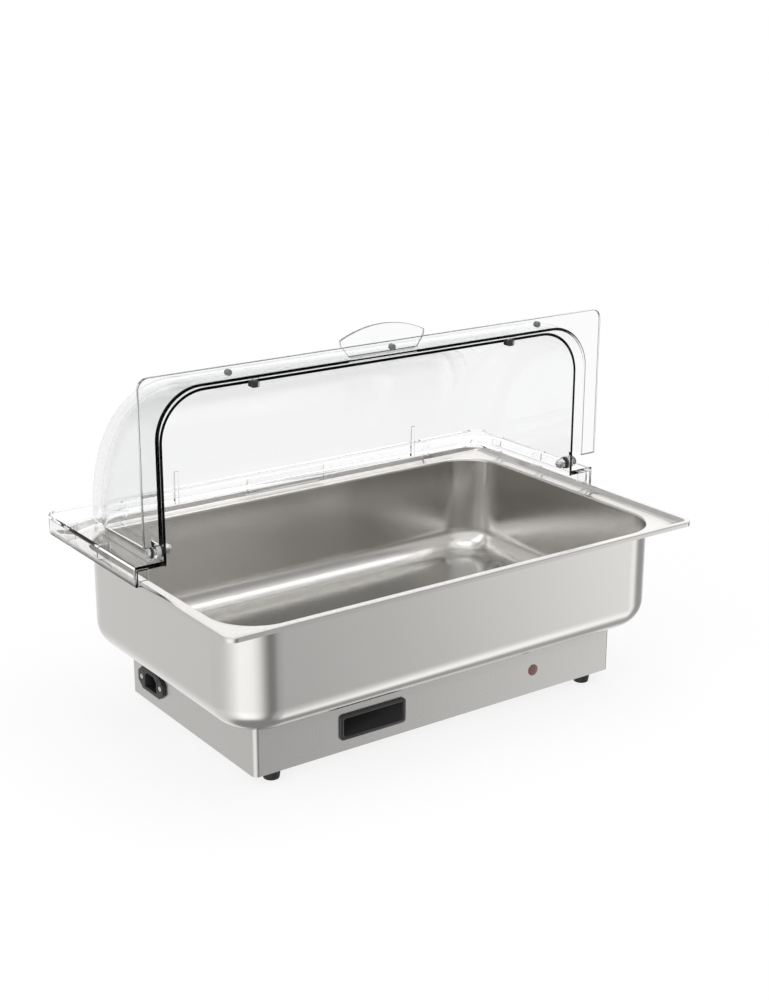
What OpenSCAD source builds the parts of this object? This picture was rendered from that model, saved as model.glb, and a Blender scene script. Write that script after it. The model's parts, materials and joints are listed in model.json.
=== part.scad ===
// Electric bain-marie: a deep water pan on a heated base, under a clear roll-top cover.
// The long side lies along X, the display side faces -Y, and Z points up from the feet.
// The origin is on the floor, under the centre of the pan.

/* [Water pan] */
// Width of the rim, outside its raised edge
rim_w = 572; // [540:1:600]
// Depth of the rim, outside its raised edge
rim_d = 368; // [350:1:390]
// Height of the raised edge above the floor
rim_z = 189; // [180:1:200]
// Height of the raised edge above the ledge
lip_h = 6; // [4:0.5:8]
// Width of the flat top of the raised edge
lip_w = 6; // [5:0.5:7]
// Width of the whole rim, from the pan wall to the outer face
rim_band = 21; // [19:0.5:24]
// Height of the outer face of the rim
rim_face = 5; // [4:0.5:6]
// Outer corner radius of the rim
rim_r = 12; // [8:1:16]
// Corner radius of the pan, seen from above, outside
pan_r = 50; // [45:1:55]
// Radius between the pan wall and its bottom, outside
pan_fillet = 30; // [24:1:34]
// Thickness of the pan sheet
pan_t = 1; // [0.8:0.1:1.5]

/* [Base] */
// Width of the base housing
base_w = 454; // [440:1:470]
// Depth of the base housing
base_d = 250; // [244:1:260]
// Height of the base housing top, where the pan stands
base_top = 68; // [62:1:72]
// Height of the rubber feet
foot_h = 12; // [10:0.5:14]
// Corner radius of the housing
base_r = 6; // [5:0.5:8]
// Thickness of the housing sheet
base_t = 1; // [0.8:0.1:1.5]
// Distance of the feet from the centre along X
foot_x = 200; // [190:1:205]
// Distance of the feet from the centre along Y
foot_y = 111; // [105:1:112]

/* [Front panel and inlet] */
// Width of the display bezel
display_w = 79; // [74:1:84]
// Height of the display bezel
display_h = 27; // [25:0.5:29]
// Place of the display along X
display_x = -90; // [-100:1:-80]
// Height of the display and the lamp
panel_z = 38; // [36:0.5:39]
// Place of the pilot lamp along X
lamp_x = 118; // [100:1:140]
// Diameter of the pilot lamp lens
lamp_d = 14; // [12:0.5:15]
// Place of the mains inlet along Y
inlet_y = 78; // [70:1:82]
// Height of the mains inlet
inlet_z = 38; // [36:0.5:39]
// Distance between the two screws of the mains inlet
inlet_pitch = 40; // [38:0.5:42]

/* [Roll-top cover] */
// Place of the pivots along Y
pivot_y = -8; // [-10:0.5:-6]
// Height of the pivots
pivot_z = 215; // [214:0.5:218]
// Outer radius of the fixed rear dome
rear_r = 156.5; // [154:0.5:157]
// Half the outer width of the fixed rear dome
rear_hw = 259; // [257:0.5:260]
// Outer radius of the moving front dome
front_r = 163; // [162:0.5:164]
// Half the outer width of the moving front dome
front_hw = 267; // [266:0.5:268]
// Corner radius of both domes, outside
dome_corner = 50; // [44:1:54]
// Wall thickness of both domes
wall_t = 3; // [2.5:0.5:3]
// Where the fixed dome and its frame end, along Y
rear_edge_y = -18; // [-19:0.5:-17]
// Front face of the moving cover's flange when the cover is open
flange_y = -28; // [-29:0.5:-27]
// Thickness of the flange
flange_t = 4; // [3:0.5:5]
// Height of the flange's free edge when the cover is open
flange_top = 391; // [389:0.5:392]
// Half the width of the flange
flange_hw = 284; // [280:0.5:285]
// Width of the bowed handle
handle_w = 104; // [90:1:120]
// Reach of the handle beyond the dome
handle_reach = 33; // [30:0.5:35]
// Height of the top of the fixed frame
frame_top = 207; // [206:0.5:208]
// Thickness of the top plate of the fixed frame
frame_t = 5; // [4:0.5:6]
// Thickness of the frame's outer skirt
skirt_t = 3; // [2.5:0.5:3.5]

/* [Hidden] */
$fn = 64;

steel = "silver";
clear = "lightcyan";
dark = "dimgray";
over = 0.5;             // how far a cutter runs past the face that it opens

rim_x = rim_w / 2;
rim_y = rim_d / 2;
ledge_z = rim_z - lip_h;
wall_x = rim_x - rim_band;      // outer face of the pan wall
wall_y = rim_y - rim_band;
edge_r = 3;                     // rolled edge from the ledge into the pan
lip_slope = 1.5;                // lean of the raised edge's inner face
handle_bow = 12;                // rise of the handle's middle over its ends
handle_foot = 16;               // height at which its sides begin to draw in
handle_draw = 12;               // how far each side draws in
base_x = base_w / 2;
base_y = base_d / 2;
plate_t = 1.2;                  // bottom plate sheet
plate_top = foot_h + plate_t;
front_y = -base_y;

// Heater stack, hung under the pan
heat_w = 300;
heat_d = 140;
heat_t = 2;
heat_z = base_top - heat_t;
tube_r = 3.25;
tube_z = heat_z - tube_r;
tube_pitch = 32;
tube_len = 120;                 // half the straight run
strap_t = 2;
strap_z = tube_z - tube_r - strap_t;
strap_x = 80;
stud_y = 64;
pad_t = 16;
pad_drop = 18;                  // room for the wires between the straps and the pad
pad_z = strap_z - pad_drop - pad_t;
tray_t = 0.8;
tray_z = pad_z - tray_t;

// Pivot stack, from the inside of the cover outwards
bolt_r = 3;
bore_r = 3.05;
spacer_r = 7;
washer_r = 6.5;
washer_t = 1.4;
gap = 0.3;
hub_r = 7.1;
front_in_hw = front_hw - wall_t;
rear_in_hw = rear_hw - wall_t;
rear_y = pivot_y + rear_r;      // back of the fixed dome
skirt_gap = 0.6;
skirt_x = rim_x + skirt_gap + skirt_t;
skirt_y = rim_y + skirt_gap + skirt_t;
skirt_z = rim_z - 3;
bumper_z = flange_top - 5.5;
bumper_h = pivot_z - pivot_y + flange_y - rim_z - gap;
pad_x = 158;
rib_x = 156;

// A rectangle with round corners, centred
module round_rect(hx, hy, r) {
    union() {
        square([2 * hx, 2 * (hy - r)], center = true);
        square([2 * (hx - r), 2 * hy], center = true);
        for (sx = [-1, 1], sy = [-1, 1]) {
            translate([sx * (hx - r), sy * (hy - r)]) circle(r = r);
        }
    }
}

// Sweeps a section round a rectangle; x = 0 of the section is on the corner centres
module sweep_round(cx, cy) {
    for (i = [0 : 3]) {
        sx = (i == 0 || i == 3) ? 1 : -1;
        sy = i < 2 ? 1 : -1;
        translate([sx * cx, sy * cy, 0]) rotate([0, 0, 90 * i]) rotate_extrude(angle = 90) children();
    }
    for (s = [0, 1]) {
        rotate([0, 0, 180 * s]) translate([cx, cy, 0]) rotate([90, 0, 0]) linear_extrude(2 * cy) children();
        rotate([0, 0, 180 * s]) translate([-cx, cy, 0]) rotate([90, 0, 90]) linear_extrude(2 * cx) children();
    }
}

// Places its children at a point, turned so that their Z runs along +X
module along_x(x, y, z) {
    translate([x, y, z]) rotate([0, 90, 0]) children();
}

// Pan section: x is measured from the pan's corner centre
module pan_section() {
    r = pan_r;
    f = pan_fillet;
    t = pan_t;
    // bottom fillet
    translate([r - f, base_top + f]) intersection() {
        difference() {
            circle(r = f);
            circle(r = f - t);
        }
        translate([0, -f]) square([f, f]);
    }
    // wall
    translate([r - t, base_top + f]) square([t, ledge_z - edge_r - base_top - f]);
    // rolled edge into the ledge
    translate([r - t + edge_r, ledge_z - edge_r]) intersection() {
        difference() {
            circle(r = edge_r);
            circle(r = edge_r - t);
        }
        translate([-edge_r, 0]) square([edge_r, edge_r]);
    }
}

// Ledge and raised edge: x is measured from the rim's corner centre
module rim_section() {
    o = rim_r;
    foot = o - lip_w - lip_slope;
    t = pan_t;
    polygon([
        [0, ledge_z - t], [foot, ledge_z - t], [foot + lip_slope, rim_z - t - 0.5],
        [o - t, rim_z - t], [o - t, rim_z - rim_face], [o, rim_z - rim_face],
        [o, rim_z - 0.8], [o - 0.8, rim_z], [foot + lip_slope - t + 0.8, rim_z],
        [foot + lip_slope - t, rim_z - 0.8], [foot - 0.2, ledge_z], [0, ledge_z]
    ]);
}

module pan_inner_cut(z0, h) {
    translate([0, 0, z0]) linear_extrude(h) {
        round_rect(wall_x - pan_t + edge_r, wall_y - pan_t + edge_r, pan_r - pan_t + edge_r);
    }
}

module water_pan() color(steel) {
    cx = wall_x - pan_r;
    cy = wall_y - pan_r;
    union() {
        sweep_round(cx, cy) pan_section();
        // flat bottom inside the fillet
        translate([0, 0, base_top]) linear_extrude(pan_t) {
            round_rect(wall_x - pan_fillet, wall_y - pan_fillet, pan_r - pan_fillet);
        }
        // ledge
        difference() {
            translate([0, 0, ledge_z - pan_t]) linear_extrude(pan_t) {
                square([2 * (rim_x - rim_r), 2 * (rim_y - rim_r)], center = true);
            }
            pan_inner_cut(ledge_z - pan_t - over, pan_t + 2 * over);
        }
        sweep_round(rim_x - rim_r, rim_y - rim_r) rim_section();
    }
}

// Openings cut through the housing walls
module panel_cuts() {
    translate([display_x, front_y, panel_z]) cube([display_w - 8, 6, display_h - 5], center = true);
    translate([lamp_x, front_y, panel_z]) rotate([90, 0, 0]) cylinder(r = lamp_d / 2 + 0.1, h = 6, center = true);
    translate([-base_x, inlet_y, inlet_z]) cube([6, 28.4, 20.6], center = true);
    for (s = [-1, 1]) {
        along_x(-base_x - 3, inlet_y + s * inlet_pitch / 2, inlet_z) cylinder(r = 1.6, h = 6);
    }
}

module housing() color(steel) {
    h = base_top - foot_h;
    difference() {
        translate([0, 0, foot_h]) linear_extrude(h) round_rect(base_x, base_y, base_r);
        // inside, below the turned-in top flange
        translate([0, 0, foot_h - over]) linear_extrude(h - base_t + over) {
            round_rect(base_x - base_t, base_y - base_t, base_r - base_t);
        }
        // opening in the top, under the pan
        translate([0, 0, base_top - base_t - over]) linear_extrude(base_t + 2 * over) {
            round_rect(base_x - 16, base_y - 16, 4);
        }
        panel_cuts();
        at_plate_screws() cylinder(r = 1.52, h = 6, center = true);
        for (p = pan_fixings()) {
            translate([p[0], p[1], base_top - 3]) cylinder(r = 2.6, h = 6);
        }
    }
}

function corners(x, y) = [[-x, -y], [x, -y], [-x, y], [x, y]];
function pan_fixings() = concat(corners(base_x - 9, 40), corners(150, base_y - 9));

// Bottom plate with a turned-up edge, slots for air, and holes for the feet and tray
module bottom_plate() color(steel) {
    px = base_x - base_t - 0.2;
    py = base_y - base_t - 0.2;
    difference() {
        union() {
            translate([0, 0, foot_h]) linear_extrude(plate_t) round_rect(px, py, base_r - base_t);
            for (s = [-1, 1]) {
                translate([-px + 12, s * (py - plate_t / 2) - plate_t / 2, foot_h]) {
                    cube([2 * px - 24, plate_t, 8]);
                }
            }
        }
        for (sx = [-1, 1], i = [-3 : 3], sy = [-1, 1]) {
            translate([sx * 100 + i * 14, sy * 88, foot_h - over]) linear_extrude(plate_t + 2 * over) {
                round_rect(2, 12, 1.99);
            }
        }
        for (p = corners(foot_x, foot_y)) {
            translate([p[0], p[1], foot_h - over]) cylinder(r = 2.1, h = plate_t + 2 * over);
        }
        for (p = tray_fixings()) {
            translate([p[0], p[1], foot_h - over]) cylinder(r = 2.1, h = plate_t + 2 * over);
        }
        translate([earth_x, earth_y, foot_h - over]) cylinder(r = 2.1, h = plate_t + 2 * over);
        at_plate_screws() cylinder(r = 1.52, h = 16, center = true);
    }
}

// Screws through the rear wall into the turned-up edge of the bottom plate
screw_z = foot_h + 4.6;
module at_plate_screws() {
    for (x = [-150, 0, 150]) {
        translate([x, base_y, screw_z]) rotate([90, 0, 0]) children();
    }
}

module bottom_plate_screws() color(steel) {
    at_plate_screws() pan_head_screw(1.5, 5, 2.9, 1.2);
}

module foot(p) color("black") {
    translate([p[0], p[1], 0]) difference() {
        union() {
            cylinder(r1 = 8, r2 = 9.5, h = foot_h - 2);
            translate([0, 0, foot_h - 2]) cylinder(r = 9.5, h = 2);
        }
        translate([0, 0, -over]) cylinder(r = 4.2, h = 5 + over);
        cylinder(r = 2.1, h = foot_h + 1);
    }
}

module foot_front_left() foot([-foot_x, -foot_y]);
module foot_front_right() foot([foot_x, -foot_y]);
module foot_rear_left() foot([-foot_x, foot_y]);
module foot_rear_right() foot([foot_x, foot_y]);

// A screw with a round head, point up: the head's underside is at z = 0
module pan_head_screw(shank_r, length, head_r, head_h) {
    translate([0, 0, -head_h]) difference() {
        cylinder(r = head_r, h = head_h);
        translate([0, 0, -over]) cylinder(r = head_r * 0.35, h = head_h * 0.5 + over, $fn = 6);
    }
    cylinder(r = shank_r, h = length);
}

module hex_nut(across, height, hole_r) {
    difference() {
        cylinder(r = across / sqrt(3), h = height, $fn = 6);
        translate([0, 0, -over]) cylinder(r = hole_r, h = height + 2 * over);
    }
}

module foot_screws() color(steel) {
    for (p = corners(foot_x, foot_y)) {
        translate([p[0], p[1], 5]) pan_head_screw(2, 13.5, 4, 2);
        translate([p[0], p[1], plate_top]) hex_nut(7, 3, 2.02);
    }
}

module pan_studs() color(steel) {
    for (p = pan_fixings()) {
        translate([p[0], p[1], base_top - 12]) cylinder(r = 2.5, h = 12);
    }
}

module pan_nuts() color(steel) {
    for (p = pan_fixings()) {
        translate([p[0], p[1], base_top - base_t - 1 - 4]) hex_nut(8, 4, 2.52);
        translate([p[0], p[1], base_top - base_t - 1]) difference() {
            cylinder(r = 5, h = 1);
            translate([0, 0, -over]) cylinder(r = 2.55, h = 1 + 2 * over);
        }
    }
}

function heater_fixings() = corners(strap_x, stud_y);

module heater_plate() color("gainsboro") {
    difference() {
        translate([0, 0, heat_z]) linear_extrude(heat_t) round_rect(heat_w / 2, heat_d / 2, 6);
        for (p = heater_fixings()) {
            translate([p[0], p[1], heat_z - over]) cylinder(r = 2.1, h = heat_t + 2 * over);
        }
    }
}

// One tube in four straight runs, joined by half turns, with both ends on the left
module heating_element() color(dark) {
    rows = [-1.5, -0.5, 0.5, 1.5];
    translate([0, 0, tube_z]) {
        for (i = [0 : 3]) {
            x0 = (i == 0 || i == 3) ? -tube_len - 22 : -tube_len;
            translate([x0, rows[i] * tube_pitch, 0]) rotate([0, 90, 0]) cylinder(r = tube_r, h = tube_len - x0);
        }
        for (y = [-tube_pitch, tube_pitch]) {
            translate([tube_len, y, 0]) rotate([0, 0, -90]) rotate_extrude(angle = 180) {
                translate([tube_pitch / 2, 0]) circle(r = tube_r);
            }
        }
        translate([-tube_len, 0, 0]) rotate([0, 0, 90]) rotate_extrude(angle = 180) {
            translate([tube_pitch / 2, 0]) circle(r = tube_r);
        }
        // cold ends
        for (i = [0, 3]) {
            translate([-tube_len - 34, rows[i] * tube_pitch, 0]) rotate([0, 90, 0]) cylinder(r = 1.5, h = 12);
        }
    }
}

module heater_straps() color(steel) {
    for (s = [-1, 1]) {
        difference() {
            translate([s * strap_x - 8, -stud_y - 8, strap_z]) cube([16, 2 * stud_y + 16, strap_t]);
            for (t = [-1, 1]) {
                translate([s * strap_x, t * stud_y, strap_z - over]) cylinder(r = 2.1, h = strap_t + 2 * over);
            }
        }
    }
}

// Studs welded under the pan; they carry the heater and its tray
module heater_studs() color(steel) {
    for (p = heater_fixings()) {
        translate([p[0], p[1], strap_z - 7]) cylinder(r = 2, h = base_top - strap_z + 7);
    }
}

module heater_nuts() color(steel) {
    for (p = heater_fixings()) {
        translate([p[0], p[1], strap_z - 3.2]) hex_nut(7, 3.2, 2.02);
    }
}

function tray_fixings() = corners(120, 55);

module insulation_pad() color("white") {
    difference() {
        translate([-heat_w / 2 + 2, -heat_d / 2 + 2, pad_z]) cube([heat_w - 4, heat_d - 4, pad_t]);
        for (p = tray_fixings()) {
            translate([p[0], p[1], pad_z - over]) cylinder(r = 4, h = pad_t + 2 * over);
        }
    }
}

// A shallow tray that holds the pad up under the heater, on four spacers
module insulation_tray() color(steel) {
    difference() {
        union() {
            translate([-heat_w / 2, -heat_d / 2, tray_z]) cube([heat_w, heat_d, tray_t]);
            for (s = [-1, 1]) {
                translate([-heat_w / 2, s * (heat_d / 2 - tray_t / 2) - tray_t / 2, tray_z]) cube([heat_w, tray_t, 8]);
            }
            for (p = tray_fixings()) {
                translate([p[0], p[1], plate_top]) cylinder(r = 3.6, h = tray_z - plate_top + over);
            }
        }
        for (p = tray_fixings()) {
            translate([p[0], p[1], plate_top - over]) cylinder(r = 2.02, h = 20);
        }
    }
}

module tray_screws() color(steel) {
    for (p = tray_fixings()) {
        translate([p[0], p[1], foot_h]) pan_head_screw(2, tray_z - foot_h + tray_t, 4, 1.8);
    }
}

// Temperature probe pressed against the heater plate by a spring clip
probe_r = 2.5;
probe_y = 0;
probe_x = 20;
module sensor_probe() color(steel) {
    translate([probe_x, probe_y, heat_z - probe_r]) rotate([0, 90, 0]) cylinder(r = probe_r, h = 34);
}

module sensor_clip() color(steel) {
    difference() {
        translate([probe_x + 10, probe_y - 7, heat_z - 2 * probe_r - 1]) cube([10, 14, 2 * probe_r + 1]);
        along_x(probe_x + 10 - over, probe_y, heat_z - probe_r) cylinder(r = probe_r + 0.02, h = 11);
    }
}

// Disc thermal cut-out under the heater plate
cutout_x = -40;
module thermal_cutout() color("black") {
    translate([cutout_x, 0, heat_z - 5]) cylinder(r = 8, h = 5);
    translate([cutout_x, 0, heat_z - 8]) cylinder(r = 6, h = 3);
    for (s = [-1, 1]) {
        translate([cutout_x - 0.4, s * 4 - 1.5, heat_z - 13]) cube([0.8, 3, 5]);
    }
}

// Temperature controller: case behind the wall, bezel in front of it
case_w = display_w - 9;
case_h = display_h - 6;
case_d = 44;
case_wall = 2;
bezel_t = 2.5;
module controller_case() color(dark) {
    translate([display_x, front_y + case_d / 2, panel_z]) difference() {
        cube([case_w, case_d, case_h], center = true);
        translate([0, -case_wall, 0]) cube([case_w - 2 * case_wall, case_d, case_h - 2 * case_wall], center = true);
    }
    // terminals on the back of the case
    translate([display_x - 24, front_y + case_d, panel_z - 5]) cube([48, 6, 8]);
}

module display_bezel() color("black") {
    translate([display_x, front_y - 2, panel_z]) rotate([90, 0, 0]) difference() {
        translate([0, 0, -2]) linear_extrude(bezel_t) round_rect(display_w / 2, display_h / 2, 4);
        translate([0, 0, -2 - over]) linear_extrude(bezel_t + 2 * over) {
            round_rect(display_w / 2 - 4, display_h / 2 - 4, 2);
        }
    }
}

// Smoked window sunk in the bezel
module display_window() color("dimgray") {
    translate([display_x, front_y - 1.2, panel_z]) rotate([90, 0, 0]) linear_extrude(1) {
        round_rect(display_w / 2 - 4.02, display_h / 2 - 4.02, 2);
    }
}

module controller_clips() color("black") {
    for (s = [-1, 1]) {
        difference() {
            translate([display_x + s * (case_w / 2 + 1.6) - 1.6, front_y + base_t, panel_z - 7]) cube([3.2, 24, 14]);
            translate([display_x + s * (case_w / 2 + 3.2) - 1.6, front_y + 6, panel_z - 4]) cube([3.2, 14, 8]);
        }
    }
}

// Pilot lamp: lens in a hole of the wall, body and nut behind
lamp_r = lamp_d / 2;
module lamp_lens() color("rosybrown") {
    translate([lamp_x, front_y, panel_z]) rotate([90, 0, 0]) {
        translate([0, 0, -6]) cylinder(r = lamp_r, h = 5.6);
        translate([0, 0, -0.4]) cylinder(r = lamp_r - 0.8, h = 1);
    }
}

module lamp_body() color("black") {
    translate([lamp_x, front_y + 6, panel_z]) rotate([-90, 0, 0]) {
        cylinder(r = lamp_r - 0.5, h = 20);
        translate([0, 0, 20]) cylinder(r = lamp_r - 2, h = 4);
        for (s = [-1, 1]) {
            translate([s * 2.4 - 0.4, -1.4, 24]) cube([0.8, 2.8, 6]);
        }
    }
}

module lamp_nut() color("black") {
    translate([lamp_x, front_y + base_t, panel_z]) rotate([-90, 0, 0]) hex_nut(17, 3, lamp_r + 0.02);
}

// Appliance inlet: a flange with two ears outside the wall, a shroud behind it
module ear_plate(w, h, ear) {
    union() {
        square([w, h], center = true);
        for (s = [-1, 1]) {
            polygon([
                [s * w / 2, -h / 2], [s * ear, -h / 2 + 7], [s * ear, h / 2 - 7], [s * w / 2, h / 2]
            ]);
        }
    }
}

inlet_cav_w = 24.6;
inlet_cav_h = 16.8;
inlet_depth = 18;
inlet_wall = 1.8;
module inlet_body() color("black") {
    translate([-base_x, inlet_y, inlet_z]) rotate([90, 0, -90]) difference() {
        union() {
            linear_extrude(3) ear_plate(36, 25, 27);
            translate([0, 0, -inlet_depth]) linear_extrude(inlet_depth) {
                square([inlet_cav_w + 2 * inlet_wall, inlet_cav_h + 2 * inlet_wall], center = true);
            }
        }
        translate([0, 0, -inlet_depth + 3]) linear_extrude(inlet_depth + 3) cavity_outline();
        for (s = [-1, 1]) {
            translate([s * inlet_pitch / 2, 0, -1]) cylinder(r = 1.6, h = 6);
            translate([s * inlet_pitch / 2, 0, 1.6]) cylinder(r = 3.4, h = 3);
        }
        for (p = pin_places()) {
            translate([p[0], p[1], -inlet_depth + 1]) cube([2.04, 4.04, 8], center = true);
        }
    }
}

// Socket outline with two cut corners at the top
module cavity_outline() {
    a = inlet_cav_w / 2;
    b = inlet_cav_h / 2;
    polygon([[-a, -b], [a, -b], [a, b - 5], [a - 5, b], [-a + 5, b], [-a, b - 5]]);
}

function pin_places() = [[-7, -2], [0, 2], [7, -2]];

module inlet_pins() color("gold") {
    translate([-base_x, inlet_y, inlet_z]) rotate([90, 0, -90]) {
        for (p = pin_places()) {
            translate([p[0], p[1], -inlet_depth + 1.5]) cube([2, 4, 19], center = true);
        }
    }
}

module inlet_screws() color(steel) {
    for (s = [-1, 1]) {
        along_x(-base_x - 1.6, inlet_y + s * inlet_pitch / 2, inlet_z) pan_head_screw(1.5, 8, 2.9, 1.6);
    }
}

module inlet_nuts() color(steel) {
    for (s = [-1, 1]) {
        along_x(-base_x + base_t, inlet_y + s * inlet_pitch / 2, inlet_z) hex_nut(5.5, 2.4, 1.52);
    }
}

// Three-way terminal block on the bottom plate
term_x = -176;
term_y = 20;
term_step = 12;
module terminal_block() color("ivory") {
    difference() {
        translate([term_x - 8, term_y - 1.5 * term_step, plate_top]) cube([16, 3 * term_step, 14]);
        for (i = [-1 : 1]) {
            along_x(term_x - 9, term_y + i * term_step, plate_top + 6) cylinder(r = 2.4, h = 18);
            translate([term_x, term_y + i * term_step, plate_top + 6]) cylinder(r = 2.2, h = 9);
        }
    }
}

module terminal_screws() color("gold") {
    for (i = [-1 : 1]) {
        translate([term_x, term_y + i * term_step, plate_top + 8]) cylinder(r = 2.15, h = 4.5);
    }
}

earth_x = -176;
earth_y = 96;
module earth_stud() color(steel) {
    translate([earth_x, earth_y, foot_h]) pan_head_screw(2, 12, 4, 1.8);
}

module earth_nuts() color("gold") {
    for (z = [plate_top, plate_top + 5.8]) {
        translate([earth_x, earth_y, z]) hex_nut(7, 3.2, 2.02);
    }
}

// Wires: one tube for each stretch, along a curve through hand-chosen points
wire_r = 1.2;
wire_sides = 8;
wire_steps = 5;

function lerp3(p, t, a, b, c, d) =
    0.5 * (2 * p[b] + (p[c] - p[a]) * t + (2 * p[a] - 5 * p[b] + 4 * p[c] - p[d]) * t * t
    + (3 * p[b] - p[a] - 3 * p[c] + p[d]) * t * t * t);

function route(p) = [
    for (i = [0 : len(p) - 2], k = [0 : wire_steps - 1])
        lerp3(p, k / wire_steps, max(i - 1, 0), i, i + 1, min(i + 2, len(p) - 1)),
    p[len(p) - 1]
];

function unit(v) = v / norm(v);

function heading(q, i) = unit(q[min(i + 1, len(q) - 1)] - q[max(i - 1, 0)]);

// A direction that no stretch of wire follows, so that the rings never flip over
wire_ref = [0.3, 0.15, 1];
function side_of(h) = unit(cross(h, wire_ref));

module wire(points, r = wire_r) {
    q = route(points);
    rings = [
        for (i = [0 : len(q) - 1], k = [0 : wire_sides - 1])
            let (h = heading(q, i), u = side_of(h), v = cross(u, h), a = 360 * k / wire_sides)
                q[i] + r * (cos(a) * u + sin(a) * v)
    ];
    n = len(q);
    tube = [
        for (i = [0 : n - 2], k = [0 : wire_sides - 1])
            let (a = i * wire_sides + k, b = i * wire_sides + (k + 1) % wire_sides)
                each [[a, a + wire_sides, b + wire_sides], [a, b + wire_sides, b]]
    ];
    cap_a = [[for (k = [0 : wire_sides - 1]) k]];
    cap_b = [[for (k = [wire_sides - 1 : -1 : 0]) (n - 1) * wire_sides + k]];
    polyhedron(points = rings, faces = concat(tube, cap_a, cap_b), convexity = 6);
}

wire_gap = 0.3;                 // a wire's end stays this far from what it joins
pin_x = -base_x + inlet_depth + 8.4;
low_z = plate_top + 6;
cold_x = -tube_len - 34 - wire_gap;
in_x = term_x - 4;              // where the wires end inside the terminal block
out_x = term_x + 4;
clamp_z = plate_top + 4.5;      // between the two nuts of the earth stud
tap_y = front_y + case_d + 6.7;  // behind the controller's terminals
blade_x = cutout_x - 0.4 - wire_gap;

// Inlet to terminal block, block to controller, controller to cut-out, cut-out to element
module live_wires() color("brown") {
    wire([[pin_x, 71, 36], [-197, 70, 35], [-202, 54, 28], [-204, 34, 21], [-196, 22, low_z],
        [in_x - 7, 20, low_z], [in_x, 20, low_z]]);
    wire([[out_x, 20, low_z], [out_x + 7, 20, low_z], [-157, 4, 22], [-157, -44, 32], [-153, -60, 43],
        [-140, -62, 47.5], [-114, -60, 48], [-102, -62, 47], [-100, -69, 42.5], [-100, tap_y, 38.5]]);
    wire([[-93, tap_y, 37], [-93, -71.5, 38.5], [-93, -64, 43], [-72, -30, 44.5], [-58, -7, 51.5],
        [-48, -4, 55], [blade_x, -4, 55]]);
    wire([[blade_x, 4, 55], [-48, 4, 55], [-64, 4, 53.5], [-110, -6, 52], [-148, -24, 53.5], [-161, -40, 57],
        [-161, -48, 62.5], [cold_x, -48, tube_z]]);
}

// Inlet to terminal block, block to element, block to controller
module neutral_wires() color("royalblue") {
    wire([[pin_x, 85, 36], [-196, 85, 34], [-189, 74, 28], [-190, 50, 21], [-193, 36, low_z],
        [in_x - 7, 32, low_z], [in_x, 32, low_z]]);
    wire([[out_x, 32, low_z], [out_x + 7, 32, low_z], [-158, 38, 32], [-161, 44, 52], [-161, 48, 62.5],
        [cold_x, 48, tube_z]]);
    wire([[out_x, 8, low_z], [out_x + 7, 8, low_z], [-162, -6, 21], [-162, -46, 28], [-158, -63, 37],
        [-144, -66, 43.5], [-122, -64, 44.5], [-110, -65, 43.5], [-108, -70.5, 39.8], [-108, tap_y, 37.5]]);
}

module earth_wires() color("yellowgreen") {
    wire([[pin_x, 78, 40], [-194, 79, 40], [-178, 84, 34], [-164, 90, 22], [-164, 96, clamp_z],
        [-169, 96, clamp_z], [earth_x + 2, earth_y, clamp_z]]);
}

module sensor_lead() color("black") {
    wire([[probe_x + 34 + wire_gap, 0, 63.5], [72, 0, 62.8], [110, 0, 62.5], [150, -6, 60], [160, -30, 54],
        [160, -75, 38], [120, -90, 31], [-20, -86, 24], [-46, -78, 26], [-56, -72.6, 34],
        [-63, -68.6, 41.5], [-71, -68, 42.5], [-73, -71, 40], [-73, tap_y, 37.5]], 1);
}

module lamp_leads() color("red") {
    for (s = [-1, 1]) {
        wire([[lamp_x + s * 2.4, front_y + 36 + wire_gap, 38], [lamp_x + s * 2.4 - 2, -79, 35],
            [lamp_x - 16, -77 - s * 2, 29], [60, -80 - s * 2, 20], [-50, -80 - s * 2, 19],
            [-68, -73.6, 23 + s * 2], [-83 + s * 3, -72.4, 31], [-83 + s * 3, -70.7, 36],
            [-83 + s * 3, tap_y, 38.5]], 0.8);
    }
}

// Half-section of a dome, for turning about the pivot axis
module dome_profile(r, hw, c) {
    union() {
        translate([0, -hw]) square([r - c, 2 * hw]);
        translate([0, -hw + c]) square([r, 2 * (hw - c)]);
        for (s = [-1, 1]) {
            translate([r - c, s * (hw - c)]) circle(r = c);
        }
    }
}

// Solid of revolution about the pivots; 0 degrees is forwards, 90 is up, 180 is back
module dome_solid(r, hw, c, from, to) {
    translate([0, pivot_y, pivot_z]) rotate([180 - to, 0, 0]) rotate([90, 0, 90]) {
        rotate_extrude(angle = to - from) intersection() {
            dome_profile(r, hw, c);
            translate([0, -hw - 1]) square([r + 1, 2 * hw + 2]);
        }
    }
}

// Plan of the straight part of the rear dome, between the frame and the pivots
module rear_plan(inset) {
    hw = rear_hw - inset;
    c = dome_corner - inset;
    y1 = rear_y - inset;
    union() {
        translate([-hw, rear_edge_y - 20]) square([2 * hw, y1 - c - rear_edge_y + 20]);
        translate([-hw + c, rear_edge_y - 20]) square([2 * (hw - c), y1 - rear_edge_y + 20]);
        for (s = [-1, 1]) {
            translate([s * (hw - c), y1 - c]) circle(r = c);
        }
    }
}

module frame_plan(inset) {
    x = skirt_x - inset;
    y = skirt_y - inset;
    r = rim_r + skirt_gap + skirt_t - inset;
    union() {
        translate([-x, -60]) square([2 * x, y + 60 - r]);
        translate([-x + r, -60]) square([2 * (x - r), y + 60]);
        for (s = [-1, 1]) {
            translate([s * (x - r), y - r]) circle(r = r);
        }
    }
}

foot_z = frame_top - frame_t;    // underside of the rear frame's top plate

// Cuts the rear half off at its front edge
module behind_edge() {
    difference() {
        children();
        translate([-320, -200, 150]) cube([640, 200 + rear_edge_y, 260]);
    }
}

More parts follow.
